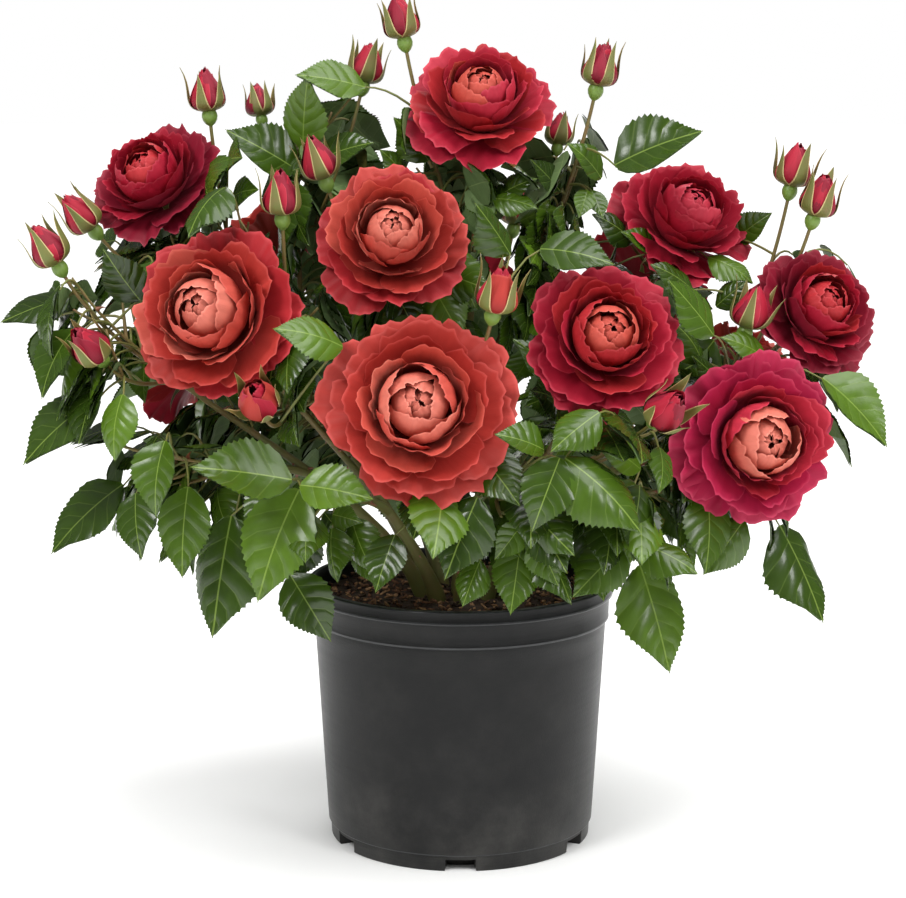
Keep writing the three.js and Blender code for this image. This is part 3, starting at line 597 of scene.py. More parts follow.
class Growth:
    # what one shoot has grown so far, and whether there is room for more
    def __init__(self, shoot, index):
        self.shoot, self.index = shoot, index
        self.leaves, self.twigs = [], []
        self.taken = np.zeros((0, 3))
        self.apart, self.lowest = leaf["apart"], 0
        rows = [row for row in claimRows[index] if not (shoot["bloom"] and row[2] > 40)]
        self.wood = [(a, b, leaf["woodGap"]) for a, b, r in rows]

    def hasRoom(self, points):
        if hidesFace(points) or not isFree(self.index, points):
            return False
        if ((points[:, 2] < self.lowest) & (np.hypot(points[:, 0], points[:, 1]) < finer["lipReach"])).any():
            return False
        if len(self.taken):
            gap = np.linalg.norm(points[:, None] - self.taken[None], axis=-1)
            if (gap < self.apart).any():
                return False
        return not (distanceTo(barTable(self.wood), points) < 0).any()

    def keep(self, plan):
        self.leaves.append(plan)
        extra = [bladePoints(blade) for blade in plan["blades"]] + [plan["stalkAt"](s)[None] for s in (0.4, 0.6, 0.8)]
        self.taken = np.vstack([self.taken] + extra)

    def keepIfFits(self, plan, fewest=2):
        if not self.hasRoom(np.array([plan["stalkAt"](0.5), plan["stalkAt"](1)])):
            return False
        plan["blades"] = [blade for blade in plan["blades"] if self.hasRoom(bladePoints(blade))]
        fitBlades(plan)
        if len(plan["blades"]) < fewest or plan["blades"][0]["hand"] != 0:
            return False
        self.keep(plan)
        return True


def isShown(tip):
    # whether one of the listed leaves that show ends about here
    return any(math.hypot(tip[0] - shown[0], tip[2] - shown[2]) < showing["standIn"] for _, shown in showing["leaves"])


def growTwig(growth, root, end, size, random, spots, fewest):
    # a twig with a leaf at its end and one on each side, where at least one of them finds room
    middle = (root + end) * 0.5 - up * 2
    if not (isFree(growth.index, middle[None]) and isFree(growth.index, end[None])):
        return False
    way = norm(end - middle)
    across = levelSide(way)
    grew = growth.keepIfFits(planLeaf(end, way, size, random), fewest)
    for share, hand in spots:
        branch = norm(way * 0.5 + across * 0.9 * hand)
        plan = planLeaf(middle + share * (end - middle), branch, 0.85 * size, random)
        grew = growth.keepIfFits(plan, fewest) or grew
    if grew:
        growth.twigs.append(np.array([root, middle, end]))
        growth.wood += [(root, middle, leaf["woodGap"]), (middle, end, leaf["woodGap"])]
    return grew


def growShoot(growth):
    # the leaves and twigs of the solid: the same rule, the same random draws
    shoot, index = growth.shoot, growth.index
    line, split = shoot["line"], shoot["split"]
    to = split + (1 - split) * stem["bareNeck"] if shoot["bloom"] else 1
    count = max(4, math.floor(line["span"] * (to - split) / stem["nodeSpacing"] + 0.5))
    for tip in shoot["tips"]:
        if isShown(tip):
            continue
        plan = planTip(shoot, tip)
        plan["blades"] = [b for b in plan["blades"] if b["hand"] == 0 or growth.hasRoom(bladePoints(b))]
        fitBlades(plan)
        growth.keep(plan)
    for i in range(count):
        random = randomFrom(977 * (index + 1) + 31 * i)
        t = split + (to - split) * (i + 0.55) / count
        root, along = line["at"](t), line["tangent"](t)
        side = levelSide(along)
        other = np.cross(along, side)
        for k in range(stem["tries"]):
            turn = math.radians(stem["turn"] * i + stem["nextTry"] * k + 40 * random())
            out = side * math.cos(turn) + other * math.sin(turn)
            away = norm(out + along * (leaf["lift"] + stem["steepen"] * k) + up * 0.25)
            size = (0.8 + 0.25 * random()) * (1 - stem["shrink"] * k)
            if i % 3 == 1 and k < stem["tries"] / 2:
                end = root + away * between(stem["twigLength"], random()) + up * 6
                if growTwig(growth, root, end, size, random, ((0, 1), (0.5, -1)), 2):
                    break
            elif growth.keepIfFits(planLeaf(root, away, size, random)):
                break
    if not shoot["bloom"]:
        way = line["tangent"](1)
        way = norm(way + levelSide(way) * 0.5)
        growth.keepIfFits(planLeaf(line["at"](0.97), way, 1, randomFrom(index + 1)))


growths = [Growth(shoot, index) for index, shoot in enumerate(shoots)]


# leaves that show: each reaches from a base to a tip, on a stalk from the nearest stem
showing = {
    "standIn": 24,  # a tip leaf of the solid this near to one of these gives way to it
    "longer": 1.06,  # makes up for what the blade's arch takes off
    "detour": 90,  # how much farther wood may be, rather than send a stalk through a bloom
    "outward": (-130.0, 120.0),  # the faces look to the front and up
    "leaves": [  # base and tip of each blade
        ((-256, -52, 379), (-297, -66, 366)), ((-246, -89, 361), (-270, -105, 323)),
        ((-231, -91, 318), (-280, -107, 282)), ((-211, -124, 324), (-219, -140, 287)),
        ((-223, -53, 254), (-271, -69, 216)), ((-184, -132, 296), (-193, -148, 253)),
        ((-172, -120, 265), (-177, -136, 212)), ((-208, -99, 257), (-206, -115, 219)),
        ((-147, -102, 243), (-160, -118, 170)), ((-100, -141, 267), (-129, -157, 202)),
        ((-110, -97, 203), (-84, -113, 164)), ((-104, -157, 276), (-161, -173, 288)),
        ((-98, -166, 274), (-55, -182, 271)), ((-73, -150, 357), (-109, -172, 374)),
        ((10, -162, 266), (-10, -178, 220)), ((37, -141, 232), (31, -157, 193)), ((12, -141, 222), (1, -157, 198)),
        ((-41, -149, 240), (-53, -165, 209)), ((60, -166, 291), (43, -182, 250)),
        ((63, -165, 290), (111, -181, 253)), ((84, -160, 318), (55, -180, 300)), ((50, -166, 296), (23, -182, 310)),
        ((103, -136, 231), (70, -152, 203)), ((120, -44, 198), (141, -60, 131)),
        ((110, -130, 230), (148, -146, 219)), ((185, -75, 235), (159, -91, 203)), ((213, -44, 225), (243, -60, 166)),
        ((236, -60, 326), (279, -76, 288)), ((161, -90, 358), (133, -106, 394)), ((102, -24, 463), (154, -40, 488)),
        ((-107, 26, 472), (-104, 10, 520)), ((-111, 26, 458), (-155, 10, 486)), ((-65, 26, 514), (-108, 10, 524)),
        ((-96, 26, 465), (-61, 10, 479)), ((31, -98, 410), (11, -114, 442)), ((50, -100, 413), (94, -116, 409)),
        ((169, 15, 399), (199, 2, 387)), ((174, 5, 367), (191, -8, 385)), ((191, 45, 409), (212, 32, 429)),
        ((131, 15, 403), (111, 2, 419)), ((118, 25, 409), (93, 12, 431)), ((156, -5, 379), (130, -18, 399)),
        ((157, -55, 336), (142, -68, 365)), ((201, -45, 337), (173, -58, 355)), ((171, -55, 322), (152, -68, 342)),
        ((95, 15, 453), (75, 2, 478)), ((68, 15, 444), (49, 2, 466)), ((-22, 15, 465), (-42, 2, 494)),
        ((-209, -55, 377), (-230, -68, 409)), ((-203, -35, 400), (-218, -48, 376)), ((89, 15, 445), (96, 2, 428)),
        ((86, 10, 445), (80, -3, 429)), ((23, 0, 439), (48, -13, 456)), ((22, -10, 440), (50, -23, 438)),
        ((-38, 15, 453), (-51, 2, 473)), ((41, 15, 424), (64, 2, 435)), ((115, -95, 272), (88, -108, 293)),
    ],
}

# the leaves and twigs that only this scene has
finer = {
    "apart": 2.2, "spacing": 3.2, "tries": 12, "size": (0.62, 0.9), "twigEvery": 5, "twigLength": (24, 60),
    "twigTries": 5, "leafTurn": (0.2, 1.1), "lowest": 200, "lipReach": 165, "seed": 7919,
}


def nearestWood(point):
    # the shoot whose stem, limb or bud stem comes nearest to a point, and where; no stalk passes through a bloom
    best = (1e9, 0, None)
    for index, shoot in enumerate(shoots):
        wood = [shoot["line"]["at"](np.linspace(0.15, 0.97, 40))]
        wood += [budLine(shoot, place)[0](np.linspace(0.1, 0.7, 12)) for place in shoot["buds"]]
        wood = np.concatenate(wood)
        gap = np.linalg.norm(wood - point, axis=1) + 0.6 * np.maximum(0, wood[:, 2] - point[2] - 10)
        way = wood[:, None] + (point - wood)[:, None] * np.array([0.2, 0.45, 0.7, 0.9])[:, None]
        away = np.linalg.norm(way[:, :, None] - bloomCentres, axis=-1)
        gap = gap + showing["detour"] * (away < 0.95 * bloomSizes).any(axis=(1, 2))
        k = int(np.argmin(gap))
        if gap[k] < best[0]:
            best = (gap[k], index, wood[k])
    return np.linalg.norm(best[2] - point), best[1], best[2]


for base, tip in showing["leaves"]:
    base, tip = np.array(base, float), np.array(tip, float)
    gap, index, root = nearestWood(base)
    length = np.linalg.norm(tip - base)
    along = (tip - base) / length
    stalk = quadratic(root, root * 0.35 + base * 0.65 + up * 0.2 * gap - along * 0.1 * gap, base)
    side = norm(np.cross(along, norm(np.array([base[0] * 0.4, *showing["outward"]]))))
    one = {"hand": 0, "root": base, "along": along, "side": side, "length": showing["longer"] * length, "shows": True}
    growths[index].keep({"stalkAt": stalk, "side": side, "along": along, "blades": [one]})


def alongOf(at):
    # the way a line runs at a place on it
    return lambda t: norm(at(min(1, t + 0.02)) - at(max(0, t - 0.02)))


def twigLine(twig):
    return quadratic(twig[0], 2 * twig[1] - 0.5 * (twig[0] + twig[2]), twig[2])


def growFiner(growth):
    # more leaves of life size between those of the solid, and finer twigs, within the same reach
    shoot, index = growth.shoot, growth.index
    growth.apart, growth.lowest = finer["apart"], finer["lowest"]
    line, split = shoot["line"], shoot["split"]
    stems = [(line["at"], line["tangent"], split, split + (1 - split) * (0.9 if shoot["bloom"] else 1), line["span"])]
    stems.append((line["at"], line["tangent"], 0.4 * split, split, line["span"]))
    for at, begin, end in ([(budLine(shoot, place)[0], 0.05, 0.72) for place in shoot["buds"]]
                           + [(twigLine(twig), 0.3, 1) for twig in growth.twigs]):
        stems.append((at, alongOf(at), begin, end, np.linalg.norm(at(1) - at(0))))
    for k, (at, tangent, begin, end, span) in enumerate(stems):
        count = max(3, int(span * (end - begin) / finer["spacing"]))
        for i in range(count):
            random = randomFrom(finer["seed"] * (index + 1) + 101 * k + 17 * i)
            for _ in range(4):
                random()
            t = begin + (end - begin) * (i + random()) / count
            root, along = at(t), tangent(t)
            side = levelSide(along)
            other = np.cross(along, side)
            for attempt in range(finer["tries"]):
                turn = 2 * math.pi * random()
                out = side * math.cos(turn) + other * math.sin(turn)
                away = norm(out + along * (finer["leafTurn"][0] + finer["leafTurn"][1] * random()) + up * 0.25)
                size = between(finer["size"], random())
                if i % finer["twigEvery"] == 2 and attempt < finer["twigTries"]:
                    tipAt = root + away * between(finer["twigLength"], random()) + up * 5
                    if growTwig(growth, root, tipAt, size, random, ((0.4, 1), (0.1, -1)), 1):
                        break
                elif growth.keepIfFits(planLeaf(root, away, size, random), 1):
                    break


for growth in growths:
    growShoot(growth)
for growth in growths:
    growFiner(growth)
allPlans = [plan for growth in growths for plan in growth.leaves]
print("grown:", len(allPlans), "leaves,", sum(len(plan["blades"]) for plan in allPlans), "blades,",
      sum(len(growth.twigs) for growth in growths), "twigs")


# leaf blades; depths and widths are shares of the blade's length, except that the pillow is in metres
blade = {
    "teeth": 18, "toothDepth": 0.08, "veins": 6, "veinSlant": 0.6, "corrugation": 0.009, "pillow": 0.00026,
    "fold": 0.24, "arch": 0.24, "width": 0.7, "thickness": 0.016, "veinPale": "#8BA34A", "midribWidth": 0.011,
    "greens": ["#26390B", "#30460D", "#3C5510", "#4A6615"], "young": "#4E4A1E", "youngVein": "#8A6A3A",
    "underside": "#677F4C", "undersideVein": "#A9BC7E", "roughness": 0.23, "seed": 31,
    "odds": (0.3, 0.34, 0.24, 0.12),  # of each green for a leaf of the crown
    # the leaves that show at the front lean to lighter greens: painted light where the light falls, over each leaf's
    # own tone
    "shownPaintedLightOdds": (0.06, 0.3, 0.38, 0.26),  # and for one that shows
    "youngFrom": 400, "youngOdds": 0.08,  # bronze leaves stand high on the left
}


def ovate(v):
    # rounded at the base, widest two fifths of the way up, drawn out to a point
    v = np.clip(v, 0, 1)
    return v ** 0.5 * (1 - v) ** 1.5 * (1 + 2.2 * v) / 0.5528


def bladeTemplate():
    # each row runs out and forward from the midrib like a side vein, so the skin can swell between veins;
    # every other row ends in a tooth, and columns go from edge to edge over the midrib
    rows = 2 * blade["teeth"] + 1
    m = np.linspace(0.0, 1.0, rows)[:, None]
    u = np.array([[-1, -0.5, 0, 0.5, 1]])
    isEdge, isTooth = np.abs(u) > 0.9, (np.arange(rows) % 2 == 1)[:, None]
    lengthwise = m + blade["veinSlant"] * np.abs(u) * np.sqrt(m) * (1 - m)
    across = u * ovate(np.clip(lengthwise, 0.004, 0.996)) * np.where(isEdge & ~isTooth, 1 - blade["toothDepth"], 1)
    swell = np.abs(np.sin(math.pi * blade["veins"] * m)) ** 0.7 - 0.6
    relief = blade["corrugation"] * swell * np.minimum(1, 2 * np.abs(u)) - 0.008 * (np.abs(u) < 0.1)
    lengthwise = lengthwise + np.where(isEdge & isTooth, 0.55 / rows, 0)
    uvs = np.stack(np.broadcast_arrays((across + 1) / 2, m), -1)
    return across, lengthwise, relief, uvs


def placeBlades(bag, blades, template, shades, below):
    # every blade at once: bend, fold and twist differ from one to the next
    across, lengthwise, relief, uvs = template
    root, along, side, length = (
        np.array([b[key] for b in blades])[:, None, None] for key in ("root", "along", "side", "length"))
    fold, arch, curl, wave = (np.array([b["form"][k] for b in blades])[:, None, None] for k in range(4))
    normal = np.cross(side, along)
    half = blade["width"] / 2 * across[None]
    bend = arch * (0.15 - (lengthwise[None] - 0.25) ** 2) + fold * np.abs(half) - curl * half ** 2 * 3
    bend = bend + relief[None] + 0.02 * np.sin(9 * lengthwise[None] + wave) * np.abs(across[None]) - below
    shortened = lengthwise[None] - 0.25 * np.abs(arch) * lengthwise[None] ** 3 * 0.5
    points = root + length[..., None] * (
        along * shortened[..., None] + side * half[..., None] + normal * bend[..., None])
    addGrids(bag, points, uvs, np.array(shades)[:, None])


def leafGreen(name, green, roughness, pale):
    # glossy green leaf, grown and waxy: fine veins are sunk between the swollen bars of skin that catch the light
    material, node, shade = newMaterial(name)
    place = node("SeparateXYZ", node("UVMap", uv_map="UVMap")).outputs
    objectPlace = node("TexCoord").outputs["Object"]
    fromMid = node("Math ABSOLUTE", node("Math SUBTRACT", place["X"], 0.5))
    midrib = node("Math LESS_THAN", fromMid, blade["midribWidth"])
    turn = node("Math MULTIPLY", place["Y"], math.pi * blade["veins"])
    swell = node("Math POWER", node("Math ABSOLUTE", node("Math SINE", turn)), 0.6)
    lines = node("Math MAXIMUM", midrib, node("Math MULTIPLY", node("Math LESS_THAN", swell, 0.3), 0.22))
    mottle = node("TexNoise", objectPlace, Scale=scaleOf(11.1), Detail=2.0)
    base = linear(green)
    body = node("Mix RGBA", mottle, tinted(base, 0.72), tinted(base, 1.3))
    colour = node("Mix RGBA", node("Math MULTIPLY", lines, 0.5), body, linear(pale))
    grain = node("TexNoise", objectPlace, Scale=scaleOf(2.38), Detail=2.0)  # net of veins, coarse enough to show
    nearMid = node("Math MINIMUM", node("Math MULTIPLY", fromMid, 9.0), 1.0)
    height = node("Math ADD", node("Math MULTIPLY", grain, 0.22), node("Math MULTIPLY", swell, nearMid))
    bump = node("Bump", Height=height, Strength=1.0, Distance=blade["pillow"])
    shade(Base_Color=colour, Roughness=roughness, Normal=bump)
    return material


leafMaterials = [
    leafGreen(f"waxy leaf green {k}", green, blade["roughness"] + 0.02 * k, blade["veinPale"])
    for k, green in enumerate(blade["greens"])
]
leafMaterials.append(leafGreen("young bronze leaf", blade["young"], 0.38, blade["youngVein"]))
leafMaterials.append(leafGreen("matt leaf underside", blade["underside"], 0.62, blade["undersideVein"]))
youngShade, underShade = len(blade["greens"]), len(blade["greens"]) + 1

upper = bladeTemplate()
lowRows = np.array([0.02, 0.12, 0.26, 0.42, 0.6, 0.8, 0.97])[:, None]
lowColumns = np.array([[1, 0, -1]])  # wound the other way, so its face looks down
lowAcross = lowColumns * ovate(lowRows) * (1 - 0.8 * blade["toothDepth"])
lower = (lowAcross, np.broadcast_to(lowRows, lowAcross.shape), np.zeros_like(lowAcross) - 0.008,
         np.stack(np.broadcast_arrays((lowColumns + 1) / 2, lowRows), -1))

regions = {
    "left": ["left_front", "upper_left", "far_left", "left_crown", "skirt_front_left", "skirt_left"],
    "middle": ["front", "middle", "top", "right_crown", "skirt_front"],
    "right": ["right_front", "upper_right", "right", "low_right", "skirt_front_right", "skirt_right"],
    "back": ["back", "back_left", "back_right", "side_left", "side_right", "skirt_back_left", "skirt_back_right"],
}
regionOf = {name: region for region, names in regions.items() for name in names}

dice = np.random.default_rng(blade["seed"])
for region, names in regions.items():
    blades, shades = [], []
    for plan in [plan for growth in growths if growth.shoot["name"] in names for plan in growth.leaves]:
        first = plan["blades"][0]
        # a leaf that shows draws lighter greens: painted light over its own random tone
        tint = int(dice.choice(len(blade["greens"]), p=blade["shownPaintedLightOdds" if "shows" in first else "odds"]))
        if first["root"][2] > blade["youngFrom"] and first["root"][0] < 0 and dice.random() < blade["youngOdds"]:
            tint = youngShade
        for one in plan["blades"]:
            one["form"] = (blade["fold"] * dice.uniform(0.2, 1.6), blade["arch"] * dice.uniform(0.4, 1.8),
                           dice.uniform(-0.2, 0.9), dice.uniform(0, 6.3))  # fold, arch, curl and wave of its own
            blades.append(one)
            shades.append(tint)
    bag = newBag()
    placeBlades(bag, blades, upper, shades, 0.0)
    placeBlades(bag, blades, lower, [underShade] * len(blades), blade["thickness"])
    makePiece(f"leaves_{region}", bag, leafMaterials, [f"shoot_{name}" for name in names])
print("leaves made")


# Blooms: each petal is a curved sheet round the bloom's axis, and its middle line is a cubic from near the axis to
# the rim. Each tier gives, from its first petal to its last: rim radius, rim height, lean of the base and of the rim
# in degrees, half the spread round the axis in degrees, ruffle and belly of the middle line. The rest holds for the
# whole tier: how far the corners are cut back and how sharply, the radius at the foot, and how far one side laps over.
petal = {
    "rows": 10, "columns": 25, "seed": 77, "roughness": 0.58, "sheen": 0.25, "reach": 1.05, "widest": 126,
    "tiers": [
        {"count": 10, "rim": (-0.03, 0.17), "height": (0.86, 0.93), "base": (86, 90), "lean": (-106, -66),
         "spread": (95, 82), "ruffle": (0.008, 0.016), "round": 0.34, "power": 2.2, "belly": (0.38, 0.6),
         "start": 0.34, "furl": 0.07},
        {"count": 9, "rim": (0.25, 0.54), "height": (0.95, 0.84), "base": (84, 82), "lean": (-48, 18),
         "spread": (66, 52), "ruffle": (0.016, 0.03), "round": 0.26, "power": 3.6, "belly": (0.42, 0.5),
         "start": 0.22, "furl": 0.04},
        {"count": 10, "rim": (0.60, 0.84), "height": (0.82, 0.56), "base": (82, 76), "lean": (24, 66),
         "spread": (50, 44), "ruffle": (0.028, 0.044), "round": 0.3, "power": 4.0, "belly": (0.5, 0.48),
         "start": 0.13, "furl": 0.03},
        {"count": 10, "rim": (0.88, 1.02), "height": (0.50, 0.26), "base": (76, 70), "lean": (66, 98),
         "spread": (44, 40), "ruffle": (0.044, 0.06), "round": 0.33, "power": 4.0, "belly": (0.45, 0.42),
         "start": 0.06, "furl": 0.02},
    ],
    # shades of each tier, from the heart outwards
    "palettes": {
        "brick": ["salmon", "coral", "brick", "brick"],
        "coral": ["salmon", "coral", "brick", "scarlet"],
        "pinkRed": ["coral", "rosePink", "scarlet", "crimson"],
        "crimson": ["coral", "scarlet", "crimson", "crimson"],
        "dark": ["scarlet", "crimson", "wine", "wine"],
        "cherry": ["rosePink", "crimson", "crimson", "crimson"],
        "magenta": ["salmon", "rosePink", "magenta", "magenta"],
    },
    "shades": {
        "salmon": "#D67462", "coral": "#C65244", "brick": "#B2372F", "scarlet": "#B0262C", "rosePink": "#BE2E42",
        "crimson": "#AC1832", "wine": "#8C122C", "magenta": "#B21C46",
    },
}


def petalMaterial(name, hexColour):
    # fresh rose petal: velvety, matt, with a soft sheen at grazing light; painted shade darkens the cup and a thin
    # painted highlight pales the rim
    material, node, shade = newMaterial(name)
    uvPlace = node("UVMap", uv_map="UVMap")
    place = node("SeparateXYZ", uvPlace).outputs
    base = linear(hexColour)
    # painted shade: the petal's colour darkens towards its base, down in the cup
    cupShade = [base[0] * 0.62, base[1] * 0.5, base[2] * 0.55, 1]
    # painted highlight: a paler colour along the petal's edges, which also tints the sheen
    rim = [min(1, base[0] * 1.3 + 0.06), base[1] * 1.5 + 0.05, base[2] * 1.5 + 0.05, 1]
    rise = node("MapRange SMOOTHSTEP", place["Y"], 0.15, 0.85)
    # where the painted rim highlight lies: along the far edge and both side edges of the petal
    edge = node("MapRange SMOOTHSTEP", place["Y"], 0.955, 1.0)
    aside = node("Math ABSOLUTE", node("Math SUBTRACT", place["X"], 0.5))
    sideRimHighlight = node("Math MULTIPLY", node("Math GREATER_THAN", aside, 0.49), 0.8)
    rimHighlight = node("Math MULTIPLY", node("Math MAXIMUM", edge, sideRimHighlight), 0.5)
    fine = node("Mapping", uvPlace, Scale=(26.0, 1.6, 1.0))  # 26 veins across 50 mm, about 2 mm apart
    veins = node("TexNoise", fine, Scale=1.0, Detail=3.0)
    body = node("Mix RGBA", rise, cupShade, base)
    veined = node("Mix RGBA", node("Math MULTIPLY", veins, 0.4), body, [0.55, 0.45, 0.5, 1], blend_type="MULTIPLY")
    colour = node("Mix RGBA", rimHighlight, veined, rim)
    bump = node("Bump", Height=veins, Strength=0.25, Distance=0.0006)
    shade(Base_Color=colour, Roughness=petal["roughness"], Specular_IOR_Level=0.3, Sheen_Weight=petal["sheen"],
          Sheen_Roughness=0.45, Sheen_Tint=rim, Normal=bump)
    return material


shadeNames = list(petal["shades"])
petalMaterials = [petalMaterial(f"velvet petal {name}", petal["shades"][name]) for name in shadeNames]


def sheetLine(t, rim, height, baseLean, rimLean, belly, start):
    # radius and height along the middle line of a petal
    def bow(a, b, c, d):
        return a * (1 - t) ** 3 + 3 * b * t * (1 - t) ** 2 + 3 * c * t * t * (1 - t) + d * t ** 3
    r, z = start
    span = np.hypot(rim - r, height - z)
    return (bow(r, r + belly * span * np.sin(baseLean), rim - 0.42 * span * np.sin(rimLean), rim),
            bow(z, z + belly * span * np.cos(baseLean), height - 0.42 * span * np.cos(rimLean), height))


def petalSheets(form, azimuth, spread, ruffle, corner, power, furl, phases, start, rows, columns):
    # points (petals, rows, columns, 3) in the bloom's own axes, z along the way it faces, radius 1
    # form: rim, height, base lean, rim lean and belly of each petal
    u, v = sheetGrid(rows, columns)
    rim, height, baseLean, rimLean, belly, spread, ruffle, azimuth = (
        np.asarray(x, float)[:, None, None] for x in (*form, spread, ruffle, azimuth))
    a, b, c, d = (phases[:, k][:, None, None] for k in range(4))
    notch = 0.04 * np.exp(-((u - 0.3 * np.sin(b)) / 0.1) ** 2) * np.maximum(0, np.sin(d))
    frill = np.sin(13 * u + a) + np.sin(22 * u + 2 * b) + 0.8 * np.sin(35 * u + 3 * c)
    t = v * (1 - corner * np.abs(u) ** power - v * notch - 0.011 * v ** 3 * (1 + frill))
    r, z = sheetLine(t, rim, height, baseLean, rimLean, belly, start)
    wave = np.sin(3.1 * u + a) + 0.5 * np.sin(8.5 * u + b) + 0.45 * np.sin(17 * u + c)
    lift = ruffle * t ** 3 * wave
    z = z + lift * np.abs(np.sin(rimLean)) + 0.35 * lift
    r = r * (1 + furl * u) + lift * np.abs(np.cos(rimLean)) + 0.3 * ruffle * t ** 4 * np.sin(7 * u + c)
    angle = azimuth + u * spread * (0.8 + 0.2 * t) + 0.1 * t * np.sin(a)
    return np.stack([r * np.cos(angle), r * np.sin(angle), z], -1)


def axesOf(facing):
    side = levelSide(facing)
    return np.stack([side, np.cross(facing, side), facing])


def placeBloom(bag, centre, facing, radius, palette, dice):
    axes = axesOf(facing)
    turn = dice.uniform(0, 6.28)
    rows, columns = petal["rows"], petal["columns"]
    for tierIndex, tier in enumerate(petal["tiers"]):
        n = tier["count"]
        share = (np.arange(n) + dice.uniform(-0.3, 0.3, n)) / (n - 1)
        rim, height, base, lean, spread, ruffle, belly = (
            between(tier[key], share) for key in ("rim", "height", "base", "lean", "spread", "ruffle", "belly"))
        azimuth = turn + np.radians(137.5) * np.arange(n) + dice.uniform(-0.15, 0.15, n)
        turn = azimuth[-1] + 2.4
        form = (rim + dice.uniform(-0.02, 0.02, n) * (0.5 + 0.4 * tierIndex),
                height + dice.uniform(-0.03, 0.03, n) * (0.3 + 0.5 * tierIndex),
                np.radians(base), np.radians(lean + dice.uniform(-10, 10, n)), belly)
        points = petalSheets(
            form, azimuth, np.radians(spread * dice.uniform(0.9, 1.1, n)), ruffle * dice.uniform(0.6, 1.2, n),
            tier["round"], tier["power"], tier["furl"], dice.uniform(0, 6.28, (n, 4)), (0.05, tier["start"]),
            rows, columns)
        own, inner = (shadeNames.index(petal["palettes"][palette][max(0, k)]) for k in (tierIndex, tierIndex - 1))
        shades = np.where(dice.random(n) < 0.8 - 0.35 * (share < 0.3), own, inner)
        addGrids(bag, centre + radius * points @ axes, gridUvs(rows, columns), shades[:, None])


# buds and the green cups under the blooms
cup = {
    "sepals": 5, "green": "#71903A", "flush": "#6F8A3C", "margin": "#BCA874", "length": 30, "half": 0.13,
    "lean": 70, "endLean": 150, "outward": 0.15,  # bent back under an open bloom
    "hip": ((-3, 2.2), (-1, 5.2), (2, 6.8), (6, 6.4), (9, 4.5)),  # place on the axis and radius
}


def greenSkin(name, hexColour, other, roughness, edgeHex=None):
    # soft young green skin flushed with red on the sunny side, very finely bloomed; sepals have a pale thin margin
    material, node, shade = newMaterial(name)
    patch = node("TexNoise", node("TexCoord").outputs["Object"], Scale=scaleOf(8.33), Detail=3.0)
    colour = node("Mix RGBA", patch, linear(hexColour), linear(other))
    if edgeHex:
        across = node("SeparateXYZ", node("UVMap", uv_map="UVMap")).outputs["X"]
        margin = node("Math GREATER_THAN", node("Math ABSOLUTE", node("Math SUBTRACT", across, 0.5)), 0.4)
        colour = node("Mix RGBA", margin, colour, linear(edgeHex))
    bump = node("Bump", Height=patch, Strength=0.2, Distance=0.0004)
    shade(Base_Color=colour, Roughness=roughness, Normal=bump)
    return material


def placeSepals(bag, centre, facing, shade, dice):
    # narrow pointed green leaves that bend back under an open bloom
    n, rows, columns = cup["sepals"], 9, 5
    u, v = sheetGrid(rows, columns)
    reach = dice.uniform(0.85, 1.15, n)[:, None, None]
    first = math.radians(cup["lean"])
    last = np.radians(cup["endLean"] + dice.uniform(-22, 22, n))[:, None, None]
    turnAt = first + (last - first) * v ** 1.6
    step = reach / (rows - 1)
    halfWidth = cup["half"] * (1 - v) ** 0.8 * (0.55 + 1.2 * v * (1 - v)) * (1 + 0.25 * np.sin(20 * v))
    azimuth = roundAbout(n, 0.15, dice)
    r = cup["outward"] + np.cumsum(np.sin(turnAt) * step, axis=1) - 0.12 * halfWidth * u ** 2
    z = np.cumsum(np.cos(turnAt) * step, axis=1)
    x = r * np.cos(azimuth) - u * halfWidth * np.sin(azimuth)
    y = r * np.sin(azimuth) + u * halfWidth * np.cos(azimuth)
    points = np.stack(np.broadcast_arrays(x, y, z), -1)
    addGrids(bag, centre + cup["length"] * points @ axesOf(facing), gridUvs(rows, columns), np.full((n, 1), shade))


budForm = {
    "petals": 6, "from": 0.24, "rim": (0.02, 0.10), "height": (0.82, 0.74), "base": 80, "lean": (-34, -18),
    "belly": (0.60, 0.72), "spread": 100, "furl": 0.06, "sepalHalf": 0.135, "sepalReach": (0.8, 1.1),
    "greenScale": 0.8, "greenSepalHalf": 0.17, "start": (0.07, 0.0), "rows": 12, "columns": 17, "stalk": (1.5, 1.2),
    "hip": [(0.04, -0.03), (0.09, 0.01), (0.135, 0.08), (0.15, 0.15), (0.14, 0.21), (0.12, 0.26)],
    "openness": 0.08, "paler": 0.25,  # how far a plain bud has opened, and from where its petals are lighter
}


def hugSepals(bag, base, axes, length, form, start, half, dice):
    # pointed green leaves that lie on the furled petals, with fine tips that stand away
    n, rows, columns = cup["sepals"], 11, 7
    u, v = sheetGrid(rows, columns)
    reach = dice.uniform(*budForm["sepalReach"], n)[:, None, None]
    peel = (dice.random(n) ** 2)[:, None, None]
    r, z = sheetLine(np.minimum(0.95, 0.02 + 0.85 * v * reach), *form, start)
    azimuth = roundAbout(n, 0.12, dice)
    width = half * (1 - v) ** 1.15 * (1 + 1.3 * v) + 0.006 * (1 - v)
    angle = azimuth + u * width / np.maximum(r, 0.16)
    out = r + 0.022 + 0.26 * peel * v ** 2 + 0.14 * v ** 5 - 0.01 * u ** 2
    points = np.stack(np.broadcast_arrays(out * np.cos(angle), out * np.sin(angle), z + 0.24 * v ** 3), -1)
    addGrids(bag, base + length * points @ axes, gridUvs(rows, columns), np.full((n, 1), sepalShade))


